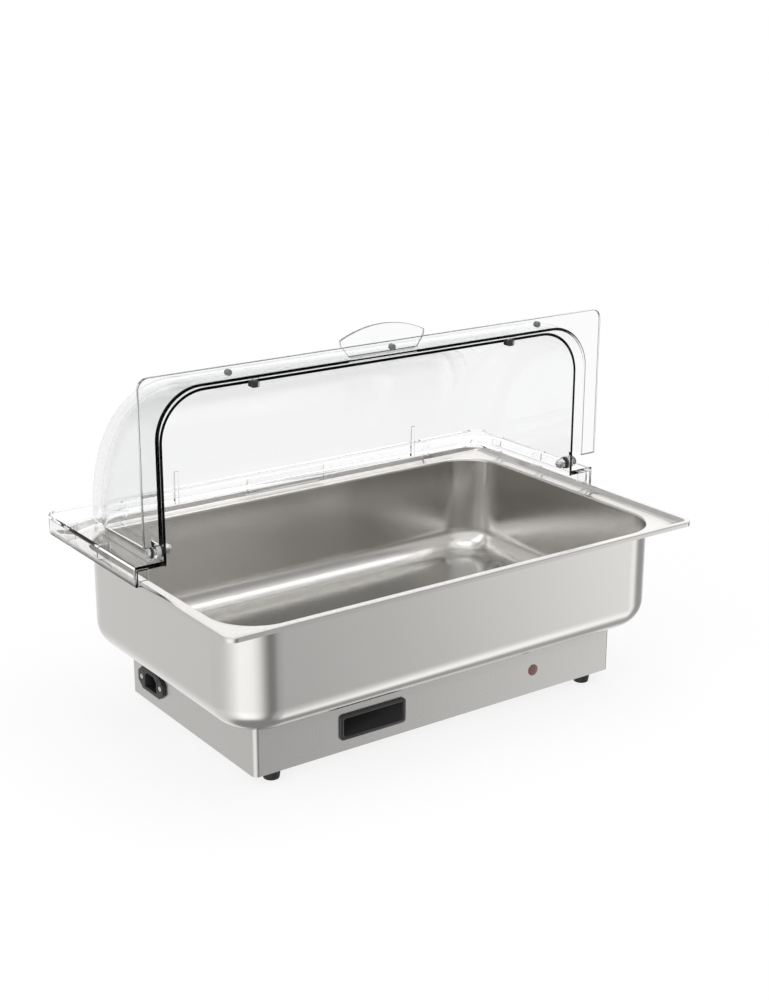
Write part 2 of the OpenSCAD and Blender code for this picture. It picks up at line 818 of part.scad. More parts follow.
// The fixed rear half's dome, with its straight riser and the ribs inside its back
module rear_cover() color(clear, 0.4) behind_edge() {
    difference() {
        union() {
            difference() {
                dome_solid(rear_r, rear_hw, dome_corner, 0, 180);
                dome_solid(rear_r - wall_t, rear_in_hw, dome_corner - wall_t, 0, 180);
            }
            translate([0, 0, foot_z]) linear_extrude(pivot_z - foot_z) difference() {
                rear_plan(0);
                rear_plan(wall_t);
            }
            for (s = [-1, 1]) {
                translate([s * rib_x - 2.5, rear_y - wall_t - 3, foot_z]) cube([5, 3.6, 38]);
            }
        }
        for (s = [-1, 1]) {
            along_x(s * (rear_hw - wall_t / 2) - 4, pivot_y, pivot_z) cylinder(r = bore_r, h = 8);
        }
    }
}

// The frame that the dome is bonded into: top plate, outer skirt, ribs and locating tab
module rear_frame() color(clear, 0.4) behind_edge() {
    translate([0, 0, foot_z]) linear_extrude(frame_t) difference() {
        frame_plan(0);
        rear_plan(0);
    }
    translate([0, 0, skirt_z]) linear_extrude(frame_top - skirt_z) difference() {
        frame_plan(0);
        frame_plan(skirt_t);
    }
    frame_ribs();
    // locating tab inside the back of the rim
    translate([-51, rim_y - lip_w - lip_slope - 4.4, rim_z - 2]) cube([102, 3, foot_z - rim_z + 3]);
}

// Short ribs under the top plate, which stand on the raised edge of the rim
module frame_ribs() {
    rib_z = rim_z + gap;
    h = foot_z - rib_z + over;
    for (s = [-1, 1], y = [-12, 66, 140]) {
        translate([s * (skirt_x - 10.5) - 7.5, y - 1.25, rib_z]) cube([15, 2.5, h]);
    }
    for (x = [-200, 200]) {
        translate([x - 1.25, skirt_y - 18, rib_z]) cube([2.5, 15.5, h]);
    }
}

// The moving front half, modelled open: its flange stands upright at the middle
module front_cover() color(clear, 0.4) {
    flange_low = pivot_z + pivot_y - rear_edge_y + 2;
    difference() {
        union() {
            difference() {
                dome_solid(front_r, front_hw, dome_corner, 5, 181);
                // in front of the flange
                translate([-320, flange_y - 200, 150]) cube([640, 200, 320]);
                // below the flange's lower ends, in front of the pivots
                translate([-320, flange_y - over, 150]) cube([640, pivot_y - flange_y + over, flange_low - 150]);
            }
            flange_plate(flange_low);
            lid_handle();
            for (s = [-1, 1]) {
                along_x(s * (front_hw - wall_t / 2) - wall_t / 2, pivot_y, pivot_z) cylinder(r = hub_r, h = wall_t);
            }
        }
        dome_solid(front_r - wall_t, front_in_hw, dome_corner - wall_t, -20, 200);
        for (s = [-1, 1]) {
            along_x(s * (front_hw - wall_t / 2) - 4, pivot_y, pivot_z) cylinder(r = bore_r, h = 8);
        }
    }
    stop_fingers();
}

module flange_plate(z0) {
    r = 11;
    h = flange_top - z0;
    translate([0, flange_y + flange_t, z0]) rotate([90, 0, 0]) linear_extrude(flange_t) union() {
        translate([-flange_hw, 0]) square([2 * flange_hw, h - r]);
        translate([-flange_hw + r, 0]) square([2 * (flange_hw - r), h]);
        for (s = [-1, 1]) {
            translate([s * (flange_hw - r), h - r]) circle(r = r);
        }
    }
}

// Upright grip behind the flange: a flat bow on short straight sides that draw in at the foot
module lid_handle() {
    y = flange_y + flange_t + 9;
    w = handle_w / 2;
    h = handle_reach;
    rad = (w * w + handle_bow * handle_bow) / (2 * handle_bow);
    base_z = pivot_z + front_r - 4;
    translate([0, y + 3, base_z]) rotate([90, 0, 0]) linear_extrude(3) intersection() {
        translate([0, h - rad]) circle(r = rad, $fn = 240);
        polygon([
            [-w, h], [-w, handle_foot], [-w + handle_draw, 0],
            [w - handle_draw, 0], [w, handle_foot], [w, h]
        ]);
    }
}

// Two fingers behind the arch; they carry the pads that meet the rear dome's front edge
module stop_fingers() {
    for (s = [-1, 1]) {
        translate([s * pad_x - 4, flange_y, pivot_z + rear_r - 6]) cube([8, 2, front_r - rear_r + 5]);
    }
}

module stop_pads() color("black") {
    for (s = [-1, 1]) {
        translate([s * pad_x - 3.5, flange_y + 2, pivot_z + rear_r - 6]) cube([7, -flange_y + rear_edge_y - 2 - gap, 6]);
    }
}

module lid_bumpers() color(dark) {
    for (x = [-190, 0, 190]) {
        translate([x, flange_y, bumper_z]) rotate([90, 0, 0]) {
            cylinder(r = 3.2, h = bumper_h - 1);
            translate([0, 0, bumper_h - 1]) cylinder(r1 = 3.2, r2 = 2.4, h = 1);
        }
    }
}

// Pivot fixings: each side has the same stack, mirrored
module both_sides() {
    for (s = [0, 1]) {
        mirror([s, 0, 0]) translate([0, pivot_y, pivot_z]) rotate([0, 90, 0]) children();
    }
}

module pivot_bolts() color(steel) both_sides() {
    x_head = front_hw + gap + washer_t;
    translate([0, 0, rear_in_hw - washer_t - 5]) cylinder(r = bolt_r, h = x_head - rear_in_hw + washer_t + 5);
    translate([0, 0, x_head]) difference() {
        union() {
            cylinder(r = 5, h = 1.6);
            translate([0, 0, 1.6]) cylinder(r1 = 5, r2 = 3.4, h = 1.4);
        }
        translate([0, 0, 1.4]) cylinder(r = 1.8, h = 3, $fn = 6);
    }
}

module ring(r_out, r_in, h) {
    difference() {
        cylinder(r = r_out, h = h);
        translate([0, 0, -over]) cylinder(r = r_in, h = h + 2 * over);
    }
}

module pivot_spacers() color("white") both_sides() {
    translate([0, 0, rear_hw]) ring(spacer_r, bore_r, front_in_hw - rear_hw - gap);
}

module pivot_washers() color(dark) both_sides() {
    translate([0, 0, front_hw + gap]) ring(washer_r - 0.5, bore_r, washer_t);
    translate([0, 0, rear_in_hw - washer_t]) ring(washer_r, bore_r, washer_t);
}

module cap_nuts() color(steel) both_sides() {
    translate([0, 0, rear_in_hw - washer_t]) mirror([0, 0, 1]) difference() {
        union() {
            cylinder(r = 10 / sqrt(3), h = 5, $fn = 6);
            translate([0, 0, 5]) intersection() {
                sphere(r = 4.8);
                cylinder(r = 5, h = 5);
            }
        }
        translate([0, 0, -over]) cylinder(r = bolt_r + 0.02, h = 5 + over);
    }
}

water_pan();
housing();
bottom_plate();
bottom_plate_screws();
foot_front_left();
foot_front_right();
foot_rear_left();
foot_rear_right();
foot_screws();
pan_studs();
pan_nuts();
heater_plate();
heating_element();
heater_straps();
heater_studs();
heater_nuts();
insulation_pad();
insulation_tray();
tray_screws();
sensor_probe();
sensor_clip();
thermal_cutout();
controller_case();
display_bezel();
display_window();
controller_clips();
lamp_lens();
lamp_body();
lamp_nut();
inlet_body();
inlet_pins();
inlet_screws();
inlet_nuts();
terminal_block();
terminal_screws();
earth_stud();
earth_nuts();
live_wires();
neutral_wires();
earth_wires();
sensor_lead();
lamp_leads();
rear_cover();
rear_frame();
pivot_bolts();
pivot_spacers();
pivot_washers();
cap_nuts();
front_cover();
lid_bumpers();
stop_pads();
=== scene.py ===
"""Dresses a packed electric bain-marie: its steel, its clear roll-top cover and its fittings."""
import json
import math

import bmesh
import bpy
from bpy.props import FloatProperty, FloatVectorProperty, PointerProperty
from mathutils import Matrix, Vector


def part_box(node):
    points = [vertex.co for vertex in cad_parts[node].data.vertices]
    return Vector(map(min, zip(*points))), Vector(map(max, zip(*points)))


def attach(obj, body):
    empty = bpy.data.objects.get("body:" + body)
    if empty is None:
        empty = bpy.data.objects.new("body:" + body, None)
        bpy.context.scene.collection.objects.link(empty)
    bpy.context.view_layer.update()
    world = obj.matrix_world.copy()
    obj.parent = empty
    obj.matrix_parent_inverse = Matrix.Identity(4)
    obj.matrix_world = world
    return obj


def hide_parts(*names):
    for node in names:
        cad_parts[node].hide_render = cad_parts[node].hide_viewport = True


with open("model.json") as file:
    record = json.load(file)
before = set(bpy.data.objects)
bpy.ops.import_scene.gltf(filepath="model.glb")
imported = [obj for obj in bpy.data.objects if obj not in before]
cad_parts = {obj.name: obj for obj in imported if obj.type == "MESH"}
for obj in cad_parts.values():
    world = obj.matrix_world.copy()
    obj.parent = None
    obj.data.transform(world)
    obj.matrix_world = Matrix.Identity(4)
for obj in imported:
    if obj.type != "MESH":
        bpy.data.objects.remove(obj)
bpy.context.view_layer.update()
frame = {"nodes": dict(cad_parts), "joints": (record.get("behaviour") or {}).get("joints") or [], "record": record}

bl_info = {
    "name": "Bain-marie dressing",
    "version": (1, 0, 0),
    "blender": (4, 5, 0),
    "location": "View3D > Sidebar > Bain-marie",
    "description": "Models and finishes an electric bain-marie round its packed frame",
    "category": "Object",
}

MM = 0.001
CORNER_STEPS = 18
SPIN_STEPS = 96
STACK = 0.1
BRIGHTEST = 1.6

# Brightness of the studio round the object by azimuth in degrees, for rays that look down and up
LOW_RING = (
    (-180, 0.85), (-145, 0.72), (-110, 0.76), (-92, 0.95), (-70, 1.30), (-40, 1.25), (-25, 0.95),
    (-12, 0.45), (-2, 0.22), (8, 0.25), (18, 0.50), (30, 0.52), (36, 0.59), (42, 0.78), (46, 0.95),
    (52, 1.2), (63, 1.25), (73, 0.45), (82, 0.36), (104, 0.40), (124, 1.0), (145, 1.05), (180, 0.85),
)
HIGH_RING = (
    (-180, 0.9), (-145, 0.62), (-90, 0.8), (-35, 1.0), (5, 0.8), (20, 0.40), (50, 0.40), (65, 0.8),
    (90, 1.1), (120, 1.2), (145, 1.4), (165, 1.2), (180, 0.9),
)
CEILING = 1.05
UNDER = 0.30
SHINE = 0.15

# Heights of a direction, from -1 straight down to 1 straight up, between which the studio changes
RING_BLEND = (-0.12, 0.16)
CEILING_BLEND = (0.45, 0.9)
SHINE_LOW = (-0.86, -0.78)
SHINE_HIGH = (-0.62, -0.50)
UNDER_BLEND = (-0.92, -0.83)

LIT_POINT = Vector((0, 0, 0.15))
FLOOR_SIZE = 120
FLOOR_FADE = (0.35, 0.95)
PALE = 0.70

EDGE_SLOT = 1
CLEAR_IOR = 1.22
NEAR = 0.02 * MM
BEND_STEPS = 4
PAN_LOW, PAN_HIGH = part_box("water_pan")
BASE_LOW, BASE_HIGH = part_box("housing")
REAR_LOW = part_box("rear_cover")[0]
FRAME_LOW, FRAME_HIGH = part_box("rear_frame")
FRONT_LOW, FRONT_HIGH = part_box("front_cover")
INLET_LOW, INLET_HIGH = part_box("inlet_body")
PIVOT = next(j for j in frame["joints"] if j["name"] == "lid_swing")["pos_m"]

# Where the painted shade at the moving dome's top, and the painted shade on the pan's bottom, fade in and out
BROW_LOW = (371 * MM, 374 * MM)
BROW_TOP = (378 * MM, 379 * MM)
BROW_FRONT = (-24 * MM, -23 * MM)
BROW_BACK = (3 * MM, 8 * MM)
BOTTOM_START = (PAN_LOW.z + 0.3 * MM, PAN_LOW.z + 0.5 * MM)
BOTTOM_END = (PAN_LOW.z + 2 * MM, PAN_LOW.z + 12.5 * MM)


def length(name, default, description):
    """A size in metres that a user may change."""
    return FloatProperty(name=name, description=description, default=default, unit="LENGTH", precision=4)


def colour(name, default, description):
    """A colour that a user may change."""
    return FloatVectorProperty(
        name=name, description=description, default=default, size=3, subtype="COLOR", min=0, max=1
    )


class PanSizes(bpy.types.PropertyGroup):
    """Sizes of the water pan, measured on its upper surface"""

    rim_face: length("Rim face", 5 * MM, "Height of the rim's outer face")
    lip_width: length("Lip width", 6 * MM, "Width of the raised edge's flat top")
    lip_slope: length("Lip slope", 1.5 * MM, "Lean of the raised edge's inner face")
    ledge_drop: length("Ledge drop", 6 * MM, "Depth of the ledge below the raised edge")
    rim_corner: length("Rim corner", 12 * MM, "Outer corner radius of the rim")
    wall_inset: length("Wall inset", 22 * MM, "Distance of the pan's inner wall from the rim's face")
    pan_corner: length("Pan corner", 49 * MM, "Inner corner radius of the pan")
    pan_fillet: length("Pan fillet", 29 * MM, "Inner radius between wall and bottom")
    sheet: length("Sheet", 1 * MM, "Thickness of the steel sheet")


class BaseSizes(bpy.types.PropertyGroup):
    """Sizes of the base box and what sits on it"""

    corner: length("Corner", 6 * MM, "Radius of the vertical corners")
    bend: length("Bend", 1.2 * MM, "Radius of the bend at the top edge")
    turn_in: length("Turned edge", 16 * MM, "Width of the turned-in top edge")
    sheet: length("Sheet", 1 * MM, "Thickness of the steel sheet")
    inlet_hole_w: length("Inlet hole width", 28.4 * MM, "Width of the hole for the inlet")
    inlet_hole_h: length("Inlet hole height", 20.6 * MM, "Height of the hole for the inlet")


class CoverSizes(bpy.types.PropertyGroup):
    """Sizes of the two halves of the roll-top cover"""

    wall: length("Wall", 3 * MM, "Wall thickness of both domes")
    corner: length("Dome corner", 50 * MM, "Outer corner radius of both domes")
    rear_radius: length("Rear radius", 156.5 * MM, "Outer radius of the fixed dome")
    rear_half: length("Rear half width", 259 * MM, "Half the width of the fixed dome")
    front_radius: length("Front radius", 163 * MM, "Outer radius of the moving dome")
    front_half: length("Front half width", 267 * MM, "Half the width of the moving dome")
    frame_plate: length("Frame plate", 5 * MM, "Thickness of the frame's top plate")
    frame_top: length("Frame top", 207 * MM, "Height of the frame's top plate")
    frame_corner: length("Frame corner", 15.6 * MM, "Outer corner radius of the frame")
    skirt: length("Skirt", 3 * MM, "Thickness of the frame's skirt")
    flange: length("Flange", 4 * MM, "Thickness of the moving cover's flange")
    flange_half: length("Flange half width", 284 * MM, "Half the width of the flange")
    flange_top: length("Flange top", 391 * MM, "Height of the flange's free edge")
    flange_low: length("Flange bottom", 227 * MM, "Height of the flange's lower ends")
    flange_corner: length("Flange corner", 11 * MM, "Radius of the flange's upper corners")
    handle_width: length("Handle width", 104 * MM, "Width of the bowed handle")
    handle_crown: length("Handle crown", 12 * MM, "Rise of the handle's middle over its ends")
    handle_undercut: length("Handle undercut", 16 * MM, "Height over which the handle's sides draw in")
    handle_depth: length("Handle depth", 3 * MM, "Thickness of the bowed handle")
    handle_setback: length("Handle setback", 9 * MM, "Distance of the handle behind the flange")
    hub: length("Hub", 7.1 * MM, "Radius of the moving cover round its pivots")


class Finishes(bpy.types.PropertyGroup):
    """Colours of the object's materials"""

    pan_steel: colour("Pan steel", (0.70, 0.685, 0.665), "Satin steel of the water pan")
    # Painted shade: a darker colour for the pan's flat bottom, standing in for its darker reflections
    pan_bottom_shade: colour("Pan bottom", (0.45, 0.443, 0.43), "Duller steel of the pan's flat bottom")
    base_steel: colour("Base steel", (0.62, 0.61, 0.593), "Brushed steel of the base")
    fixing_steel: colour("Fixing steel", (0.60, 0.60, 0.60), "Bright steel of the fasteners")
    clear: colour("Clear cover", (0.968, 0.970, 0.970), "Tint of the clear covers")
    # Painted shade: a dark colour on the covers' cut edges, standing in for the dark reflections along a clear
    # edge
    clear_edge: colour("Clear edge", (0.10, 0.11, 0.11), "Tint of the covers' cut edges")
    # Painted shade: a grey band along the moving dome's top next to its flange
    brow_shade: colour("Brow", (0.76, 0.77, 0.78), "Tint of the moving cover's top next to its flange")
    rubber: colour("Rubber", (0.018, 0.018, 0.019), "Black rubber of feet and pads")
    plastic: colour("Plastic", (0.016, 0.016, 0.017), "Black moulded plastic")
    lens: colour("Lens", (0.30, 0.14, 0.13), "Dull red of the lamp's lens")
    window: colour("Window", (0.007, 0.007, 0.008), "Smoked window of the display")
    brass: colour("Brass", (0.80, 0.62, 0.32), "Brass of the pins, the terminal screws and the earth nuts")
    nylon: colour("Nylon", (0.72, 0.72, 0.68), "Pale nylon of the pivot spacers")
    bumper: colour("Bumper", (0.20, 0.20, 0.20), "Grey of the moving cover's bumpers")


class StageSettings(bpy.types.PropertyGroup):
    """The studio round the object"""

    floor_colour: colour("Floor", (0.80, 0.80, 0.80), "Colour of the floor")
    floor_lift: FloatProperty(
        name="Floor lift", description="Glow that the eye sees on the floor", default=0.33
    )
    key_power: FloatProperty(
        name="Key light", description="Power of the soft key light", default=17, unit="POWER"
    )
    fill_power: FloatProperty(
        name="Fill light", description="Power of the fill light", default=9, unit="POWER"
    )
    sky: FloatProperty(name="Sky", description="Strength of the sky on matt surfaces", default=0.55)
    lens: FloatProperty(name="Lens", description="Focal length of the camera", default=60.25, unit="CAMERA")


class Val:
    """A shader value that takes Python's arithmetic."""

    def __init__(self, graph, socket):
        self.graph = graph
        self.socket = socket

    def math(self, operation, *others):
        inputs = dict(enumerate((self,) + others))
        return self.graph.add("Math", {"operation": operation}, inputs)[0]

    def __add__(self, other):
        return self.math("ADD", other)

    __radd__ = __add__

    def __mul__(self, other):
        return self.math("MULTIPLY", other)

    __rmul__ = __mul__

    def __sub__(self, other):
        return self.math("SUBTRACT", other)

    def __rsub__(self, other):
        return self * -1 + other

    def __truediv__(self, other):
        return self.math("DIVIDE", other)

    def __neg__(self):
        return self * -1

    def smooth(self, low, high):
        """0 below low, 1 above high, and an S-curve between."""
        ranges = {"From Min": low, "From Max": high, "Value": self}
        return self.graph.add("MapRange", {"interpolation_type": "SMOOTHSTEP"}, ranges)[0]


class Made:
    """A node whose outputs are read as values, by name or number."""

    def __init__(self, graph, node):
        self.graph = graph
        self.node = node

    def __getitem__(self, key):
        return Val(self.graph, self.node.outputs[key])


class Graph:
    """Builds the nodes of one material or world."""

    def __init__(self, owner):
        owner.use_nodes = True
        self.tree = owner.node_tree
        self.tree.nodes.clear()

    def add(self, kind, settings=None, inputs=None):
        """Adds a node, sets it up, then gives its sockets their values or links."""
        node = self.tree.nodes.new("ShaderNode" + kind)
        for key, value in (settings or {}).items():
            if key == "stops":
                self.set_stops(node.color_ramp, value)
            else:
                setattr(node, key, value)
        for key, value in (inputs or {}).items():
            if isinstance(value, Val):
                self.tree.links.new(value.socket, node.inputs[key])
            else:
                node.inputs[key].default_value = value
        return Made(self, node)

    @staticmethod
    def set_stops(ramp, stops):
        """Stops of grey, given from the lowest place to the highest."""
        for place, _ in stops[1:-1]:
            ramp.elements.new(place)
        for element, (place, shade) in zip(ramp.elements, stops):
            element.position = place
            element.color = (shade, shade, shade, 1)

    def finish(self, shader, kind="OutputMaterial"):
        self.add(kind, None, {"Surface": shader})


def rgba(values, factor=1.0):
    return tuple(v * factor for v in values[:3]) + (1.0,)


def new_material(name):
    material = bpy.data.materials.new(name)
    return material, Graph(material)


def pattern(graph, stretch=(1, 1, 1), scale=100.0, detail=3.0, rough=0.5):
    """A noise on the object's own coordinates, stretched along its axes."""
    place = graph.add("TexCoord")["Object"]
    mapped = graph.add("Mapping", {"vector_type": "POINT"}, {"Vector": place, "Scale": stretch})["Vector"]
    inputs = {"Vector": mapped, "Scale": scale, "Detail": detail, "Roughness": rough}
    return graph.add("TexNoise", None, inputs)["Fac"]


def tinted(graph, tint, spread, factor):
    """A colour that wanders a little round the one given."""
    inputs = {6: rgba(tint, 1 - spread), 7: rgba(tint, 1 + spread), 0: factor}
    return graph.add("Mix", {"data_type": "RGBA"}, inputs)[2]


def bumped(graph, height, strength, distance):
    inputs = {"Height": height, "Strength": strength, "Distance": distance}
    return graph.add("Bump", None, inputs)["Normal"]


def bottom_mask(graph):
    """1 on the pan's flat bottom, where the painted shade goes, fading out up its round edge, and 0 on its walls
    and underside.
    """
    z = graph.add("SeparateXYZ", None, {0: graph.add("TexCoord")["Object"]})["Z"]
    return z.smooth(*BOTTOM_START) * (1 - z.smooth(*BOTTOM_END))


def steel(name, tint, rough, grain, grain_scale, lines=0.04, bottom_shade=None):
    """Stainless sheet: cloudy colour, fine grain along one direction, soft reflections, and where asked a painted
    shade that darkens the pan's flat bottom.
    """
    material, graph = new_material(name)
    cloud = pattern(graph, scale=5.0, detail=2.0)
    fine = pattern(graph, stretch=grain, scale=grain_scale, detail=4.0, rough=0.6)
    shade = tinted(graph, tint, 0.025, cloud)
    # Painted shade: the pan's flat bottom is mixed towards a darker colour
    if bottom_shade:
        inputs = {6: shade, 7: rgba(bottom_shade), 0: bottom_mask(graph)}
        shade = graph.add("Mix", {"data_type": "RGBA"}, inputs)[2]
    fine_swing, cloud_swing = 0.10, 0.05
    inputs = {
        "Base Color": shade,
        "Metallic": 1.0,
        "Roughness": fine * fine_swing + cloud * cloud_swing + (rough - (fine_swing + cloud_swing) / 2),
        "Normal": bumped(graph, fine, lines, 0.2 * MM),
    }
    graph.finish(graph.add("BsdfPrincipled", None, inputs)["BSDF"])
    return material


def brow_mask(graph):
    """1 on the moving dome's top next to its flange, where a band of painted shade goes, 0 on the rest of it."""
    axes = graph.add("SeparateXYZ", None, {0: graph.add("TexCoord")["Object"]})
    y, z = axes["Y"], axes["Z"]
    along = y.smooth(*BROW_FRONT) * (1 - y.smooth(*BROW_BACK))
    return along * z.smooth(*BROW_LOW) * (1 - z.smooth(*BROW_TOP))


def clear_plastic(name, tint, rough, brow_shade=None):
    """Clear polycarbonate: light passes to what it shades, a faint haze lies on it, and where asked a grey band of
    painted shade lies along the dome's top.
    """
    material, graph = new_material(name)
    haze = pattern(graph, scale=9.0, detail=2.0)
    shade = tinted(graph, tint, 0.004, haze)
    # Painted shade: a grey band mixed into the clear colour along the dome's top
    if brow_shade:
        inputs = {6: shade, 7: rgba(brow_shade), 0: brow_mask(graph)}
        shade = graph.add("Mix", {"data_type": "RGBA"}, inputs)[2]
    inputs = {
        "Base Color": shade,
        "Roughness": haze * 0.02 + rough,
        "IOR": CLEAR_IOR,
        "Transmission Weight": 1.0,
    }
    solid = graph.add("BsdfPrincipled", None, inputs)["BSDF"]
    passing = graph.add("BsdfTransparent", None, {"Color": rgba(tint)})["BSDF"]
    shadow = graph.add("LightPath")["Is Shadow Ray"]
    graph.finish(graph.add("MixShader", None, {0: shadow, 1: solid, 2: passing})[0])
    return material


def moulded(name, tint, rough, grain_depth, coat=0.0, ior=1.5):
    """Moulded plastic or rubber with a fine sparked grain and slightly worn sheen."""
    material, graph = new_material(name)
    grain = pattern(graph, scale=1800.0, detail=2.0)
    cloud = pattern(graph, scale=25.0, detail=3.0)
    cloud_swing, grain_swing = 0.12, 0.05
    inputs = {
        "Base Color": tinted(graph, tint, 0.10, cloud),
        "Roughness": cloud * cloud_swing + grain * grain_swing + (rough - (cloud_swing + grain_swing) / 2),
        "Normal": bumped(graph, grain, grain_depth, 0.1 * MM),
        "Coat Weight": coat,
        "IOR": ior,
    }
    graph.finish(graph.add("BsdfPrincipled", None, inputs)["BSDF"])
    return material


def fibre(name, tint):
    """Pressed ceramic fibre, matt and uneven."""
    material, graph = new_material(name)
    tuft = pattern(graph, stretch=(1, 1, 3), scale=260.0, detail=6.0, rough=0.7)
    inputs = {
        "Base Color": tinted(graph, tint, 0.08, tuft),
        "Roughness": 0.95,
        "Normal": bumped(graph, tuft, 0.6, 0.5 * MM),
    }
    graph.finish(graph.add("BsdfPrincipled", None, inputs)["BSDF"])
    return material


def signal_lens(name, tint):
    """Dull red lens with a slightly cloudy face."""
    material, graph = new_material(name)
    cloud = pattern(graph, scale=220.0, detail=2.0)
    inputs = {
        "Base Color": tinted(graph, tint, 0.12, cloud),
        "Roughness": cloud * 0.08 + 0.22,
        "IOR": 1.49,
    }
    graph.finish(graph.add("BsdfPrincipled", None, inputs)["BSDF"])
    return material


def deselect():
    """Leaves every object unselected, in object mode."""
    if bpy.context.object and bpy.context.object.mode != "OBJECT":
        bpy.ops.object.mode_set(mode="OBJECT")
    bpy.ops.object.select_all(action="DESELECT")


def open_piece(name):
    """Adds an empty mesh at the origin and goes into edit mode."""
    deselect()
    bpy.ops.object.add(type="MESH", location=(0, 0, 0))
    piece = bpy.context.object
    piece.name = name
    piece.data.name = name
    bpy.ops.object.mode_set(mode="EDIT")
    bpy.ops.mesh.select_mode(type="VERT")
    return piece


def edit_mesh():
    mesh = bmesh.from_edit_mesh(bpy.context.object.data)
    mesh.verts.ensure_lookup_table()
    mesh.verts.index_update()
    return mesh


def pick(test):
    """Selects the vertices that pass a test, with the edges and faces between them."""
    mesh = edit_mesh()
    for vertex in mesh.verts:
        vertex.select = bool(test(vertex))
    mesh.select_flush_mode()
    bmesh.update_edit_mesh(bpy.context.object.data)


def pick_faces(test):
    """Selects the faces whose middle passes a test."""
    bpy.ops.mesh.select_mode(type="FACE")
    mesh = edit_mesh()
    for face in mesh.faces:
        face.select_set(bool(test(face)))
    mesh.select_flush_mode()
    bmesh.update_edit_mesh(bpy.context.object.data)


def outline(x, y, z, half_x, half_y, radius, steps=CORNER_STEPS):
    """Adds a flat rectangle with round corners, as edges only, and returns its points' numbers."""
    start = len(edit_mesh().verts)
    bpy.ops.mesh.select_all(action="DESELECT")
    bpy.ops.mesh.primitive_plane_add(size=2, location=(x, y, z))
    bpy.ops.transform.resize(value=(half_x, half_y, 1), center_override=(x, y, z))
    bpy.ops.mesh.bevel(offset=radius, offset_type="OFFSET", segments=steps, profile=0.5, affect="VERTICES")
    pick(lambda v: v.index >= start)
    bpy.ops.mesh.delete(type="ONLY_FACE")
    return range(start, len(edit_mesh().verts))


def loft(rings, close=False, cap_last=False):
    """Bridges a row of outlines with equal corner steps; they are stacked apart while they are bridged."""
    spans = [outline(x, y, STACK * i, *rest) for i, (x, y, z, *rest) in enumerate(rings)]
    pairs = list(zip(spans, spans[1:]))
    if close:
        pairs.append((spans[-1], spans[0]))
    for first, second in pairs:
        pick(lambda v: v.index in first or v.index in second)
        bpy.ops.mesh.bridge_edge_loops()
    if cap_last:
        pick(lambda v: v.index in spans[-1])
        bpy.ops.mesh.edge_face_add()
    for i, span in enumerate(spans):
        pick(lambda v: v.index in span)
        bpy.ops.transform.translate(value=(0, 0, rings[i][2] - STACK * i))


def box_solid(centre, size):
    """Adds a plain block to the piece that is being edited, as one rib or finger of it."""
    bpy.ops.mesh.select_all(action="DESELECT")
    bpy.ops.mesh.primitive_cube_add(size=1, location=centre)
    bpy.ops.transform.resize(value=size, center_override=centre)


def bisect(point, normal, clear_inner=False, clear_outer=False, fill=False):
    bpy.ops.mesh.select_all(action="SELECT")
    bpy.ops.mesh.bisect(
        plane_co=point, plane_no=normal, clear_inner=clear_inner, clear_outer=clear_outer, use_fill=fill
    )


def face_outwards():
    bpy.ops.mesh.select_all(action="SELECT")
    bpy.ops.mesh.normals_make_consistent(inside=False)


def turn_face(point, direction):
    """Flips the sheet if the face nearest to a point looks the other way."""
    face_outwards()
    mesh = edit_mesh()
    nearest = min(mesh.faces, key=lambda f: (f.calc_center_median() - Vector(point)).length)
    if nearest.normal.dot(Vector(direction)) < 0:
        bpy.ops.mesh.select_all(action="SELECT")
        bpy.ops.mesh.flip_normals()


def apply_modifier(piece, kind, **settings):
    """Adds a modifier, sets it up and applies it."""
    bpy.ops.object.modifier_add(type=kind)
    modifier = piece.modifiers[-1]
    for key, value in settings.items():
        setattr(modifier, key, value)
    bpy.ops.object.modifier_apply(modifier=modifier.name)


def thicken(piece, sheet, rim_slot=0):
    """Gives a sheet its thickness, away from the side that it faces."""
    bpy.ops.object.mode_set(mode="OBJECT")
    apply_modifier(
        piece, "SOLIDIFY", thickness=sheet, offset=-1, use_even_offset=True, material_offset_rim=rim_slot
    )


def soften(piece, width, segments, angle, **more):
    """Rounds the edges of a piece that are sharper than an angle in degrees."""
    apply_modifier(
        piece, "BEVEL", width=width, segments=segments, limit_method="ANGLE",
        angle_limit=math.radians(angle), use_clamp_overlap=True, harden_normals=False, **more,
    )


def dress(piece, body, materials, nodes=(), smooth=35):
    """Shades a finished piece, gives it its materials, ties it to its body and hides the nodes it stands for."""
    if piece.mode != "OBJECT":
        bpy.ops.object.mode_set(mode="OBJECT")
    bpy.ops.object.shade_smooth_by_angle(angle=math.radians(smooth))
    for place, material in enumerate(materials):
        if place < len(piece.material_slots):
            piece.material_slots[place].material = material
        else:
            piece.data.materials.append(material)
    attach(piece, body)
    if nodes:
        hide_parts(*nodes)
    return piece


def add_slots(piece, *materials):
    """Gives a piece its materials before its modifiers number their faces."""
    for material in materials:
        piece.data.materials.append(material)


def arc(centre_d, centre_z, radius, start, end, steps):
    """Points of a profile's round stretch; angles in degrees, 0 outwards and 90 up."""
    angles = [math.radians(start + (end - start) * i / steps) for i in range(steps + 1)]
    return [(centre_d - radius * math.cos(a), centre_z + radius * math.sin(a)) for a in angles]


def stand_up(piece):
    """Turns a piece made flat so that its top looks forwards, and applies the turn."""
    bpy.ops.object.mode_set(mode="OBJECT")
    piece.rotation_euler = (math.pi / 2, 0, 0)
    bpy.ops.object.transform_apply(location=False, rotation=True, scale=False)


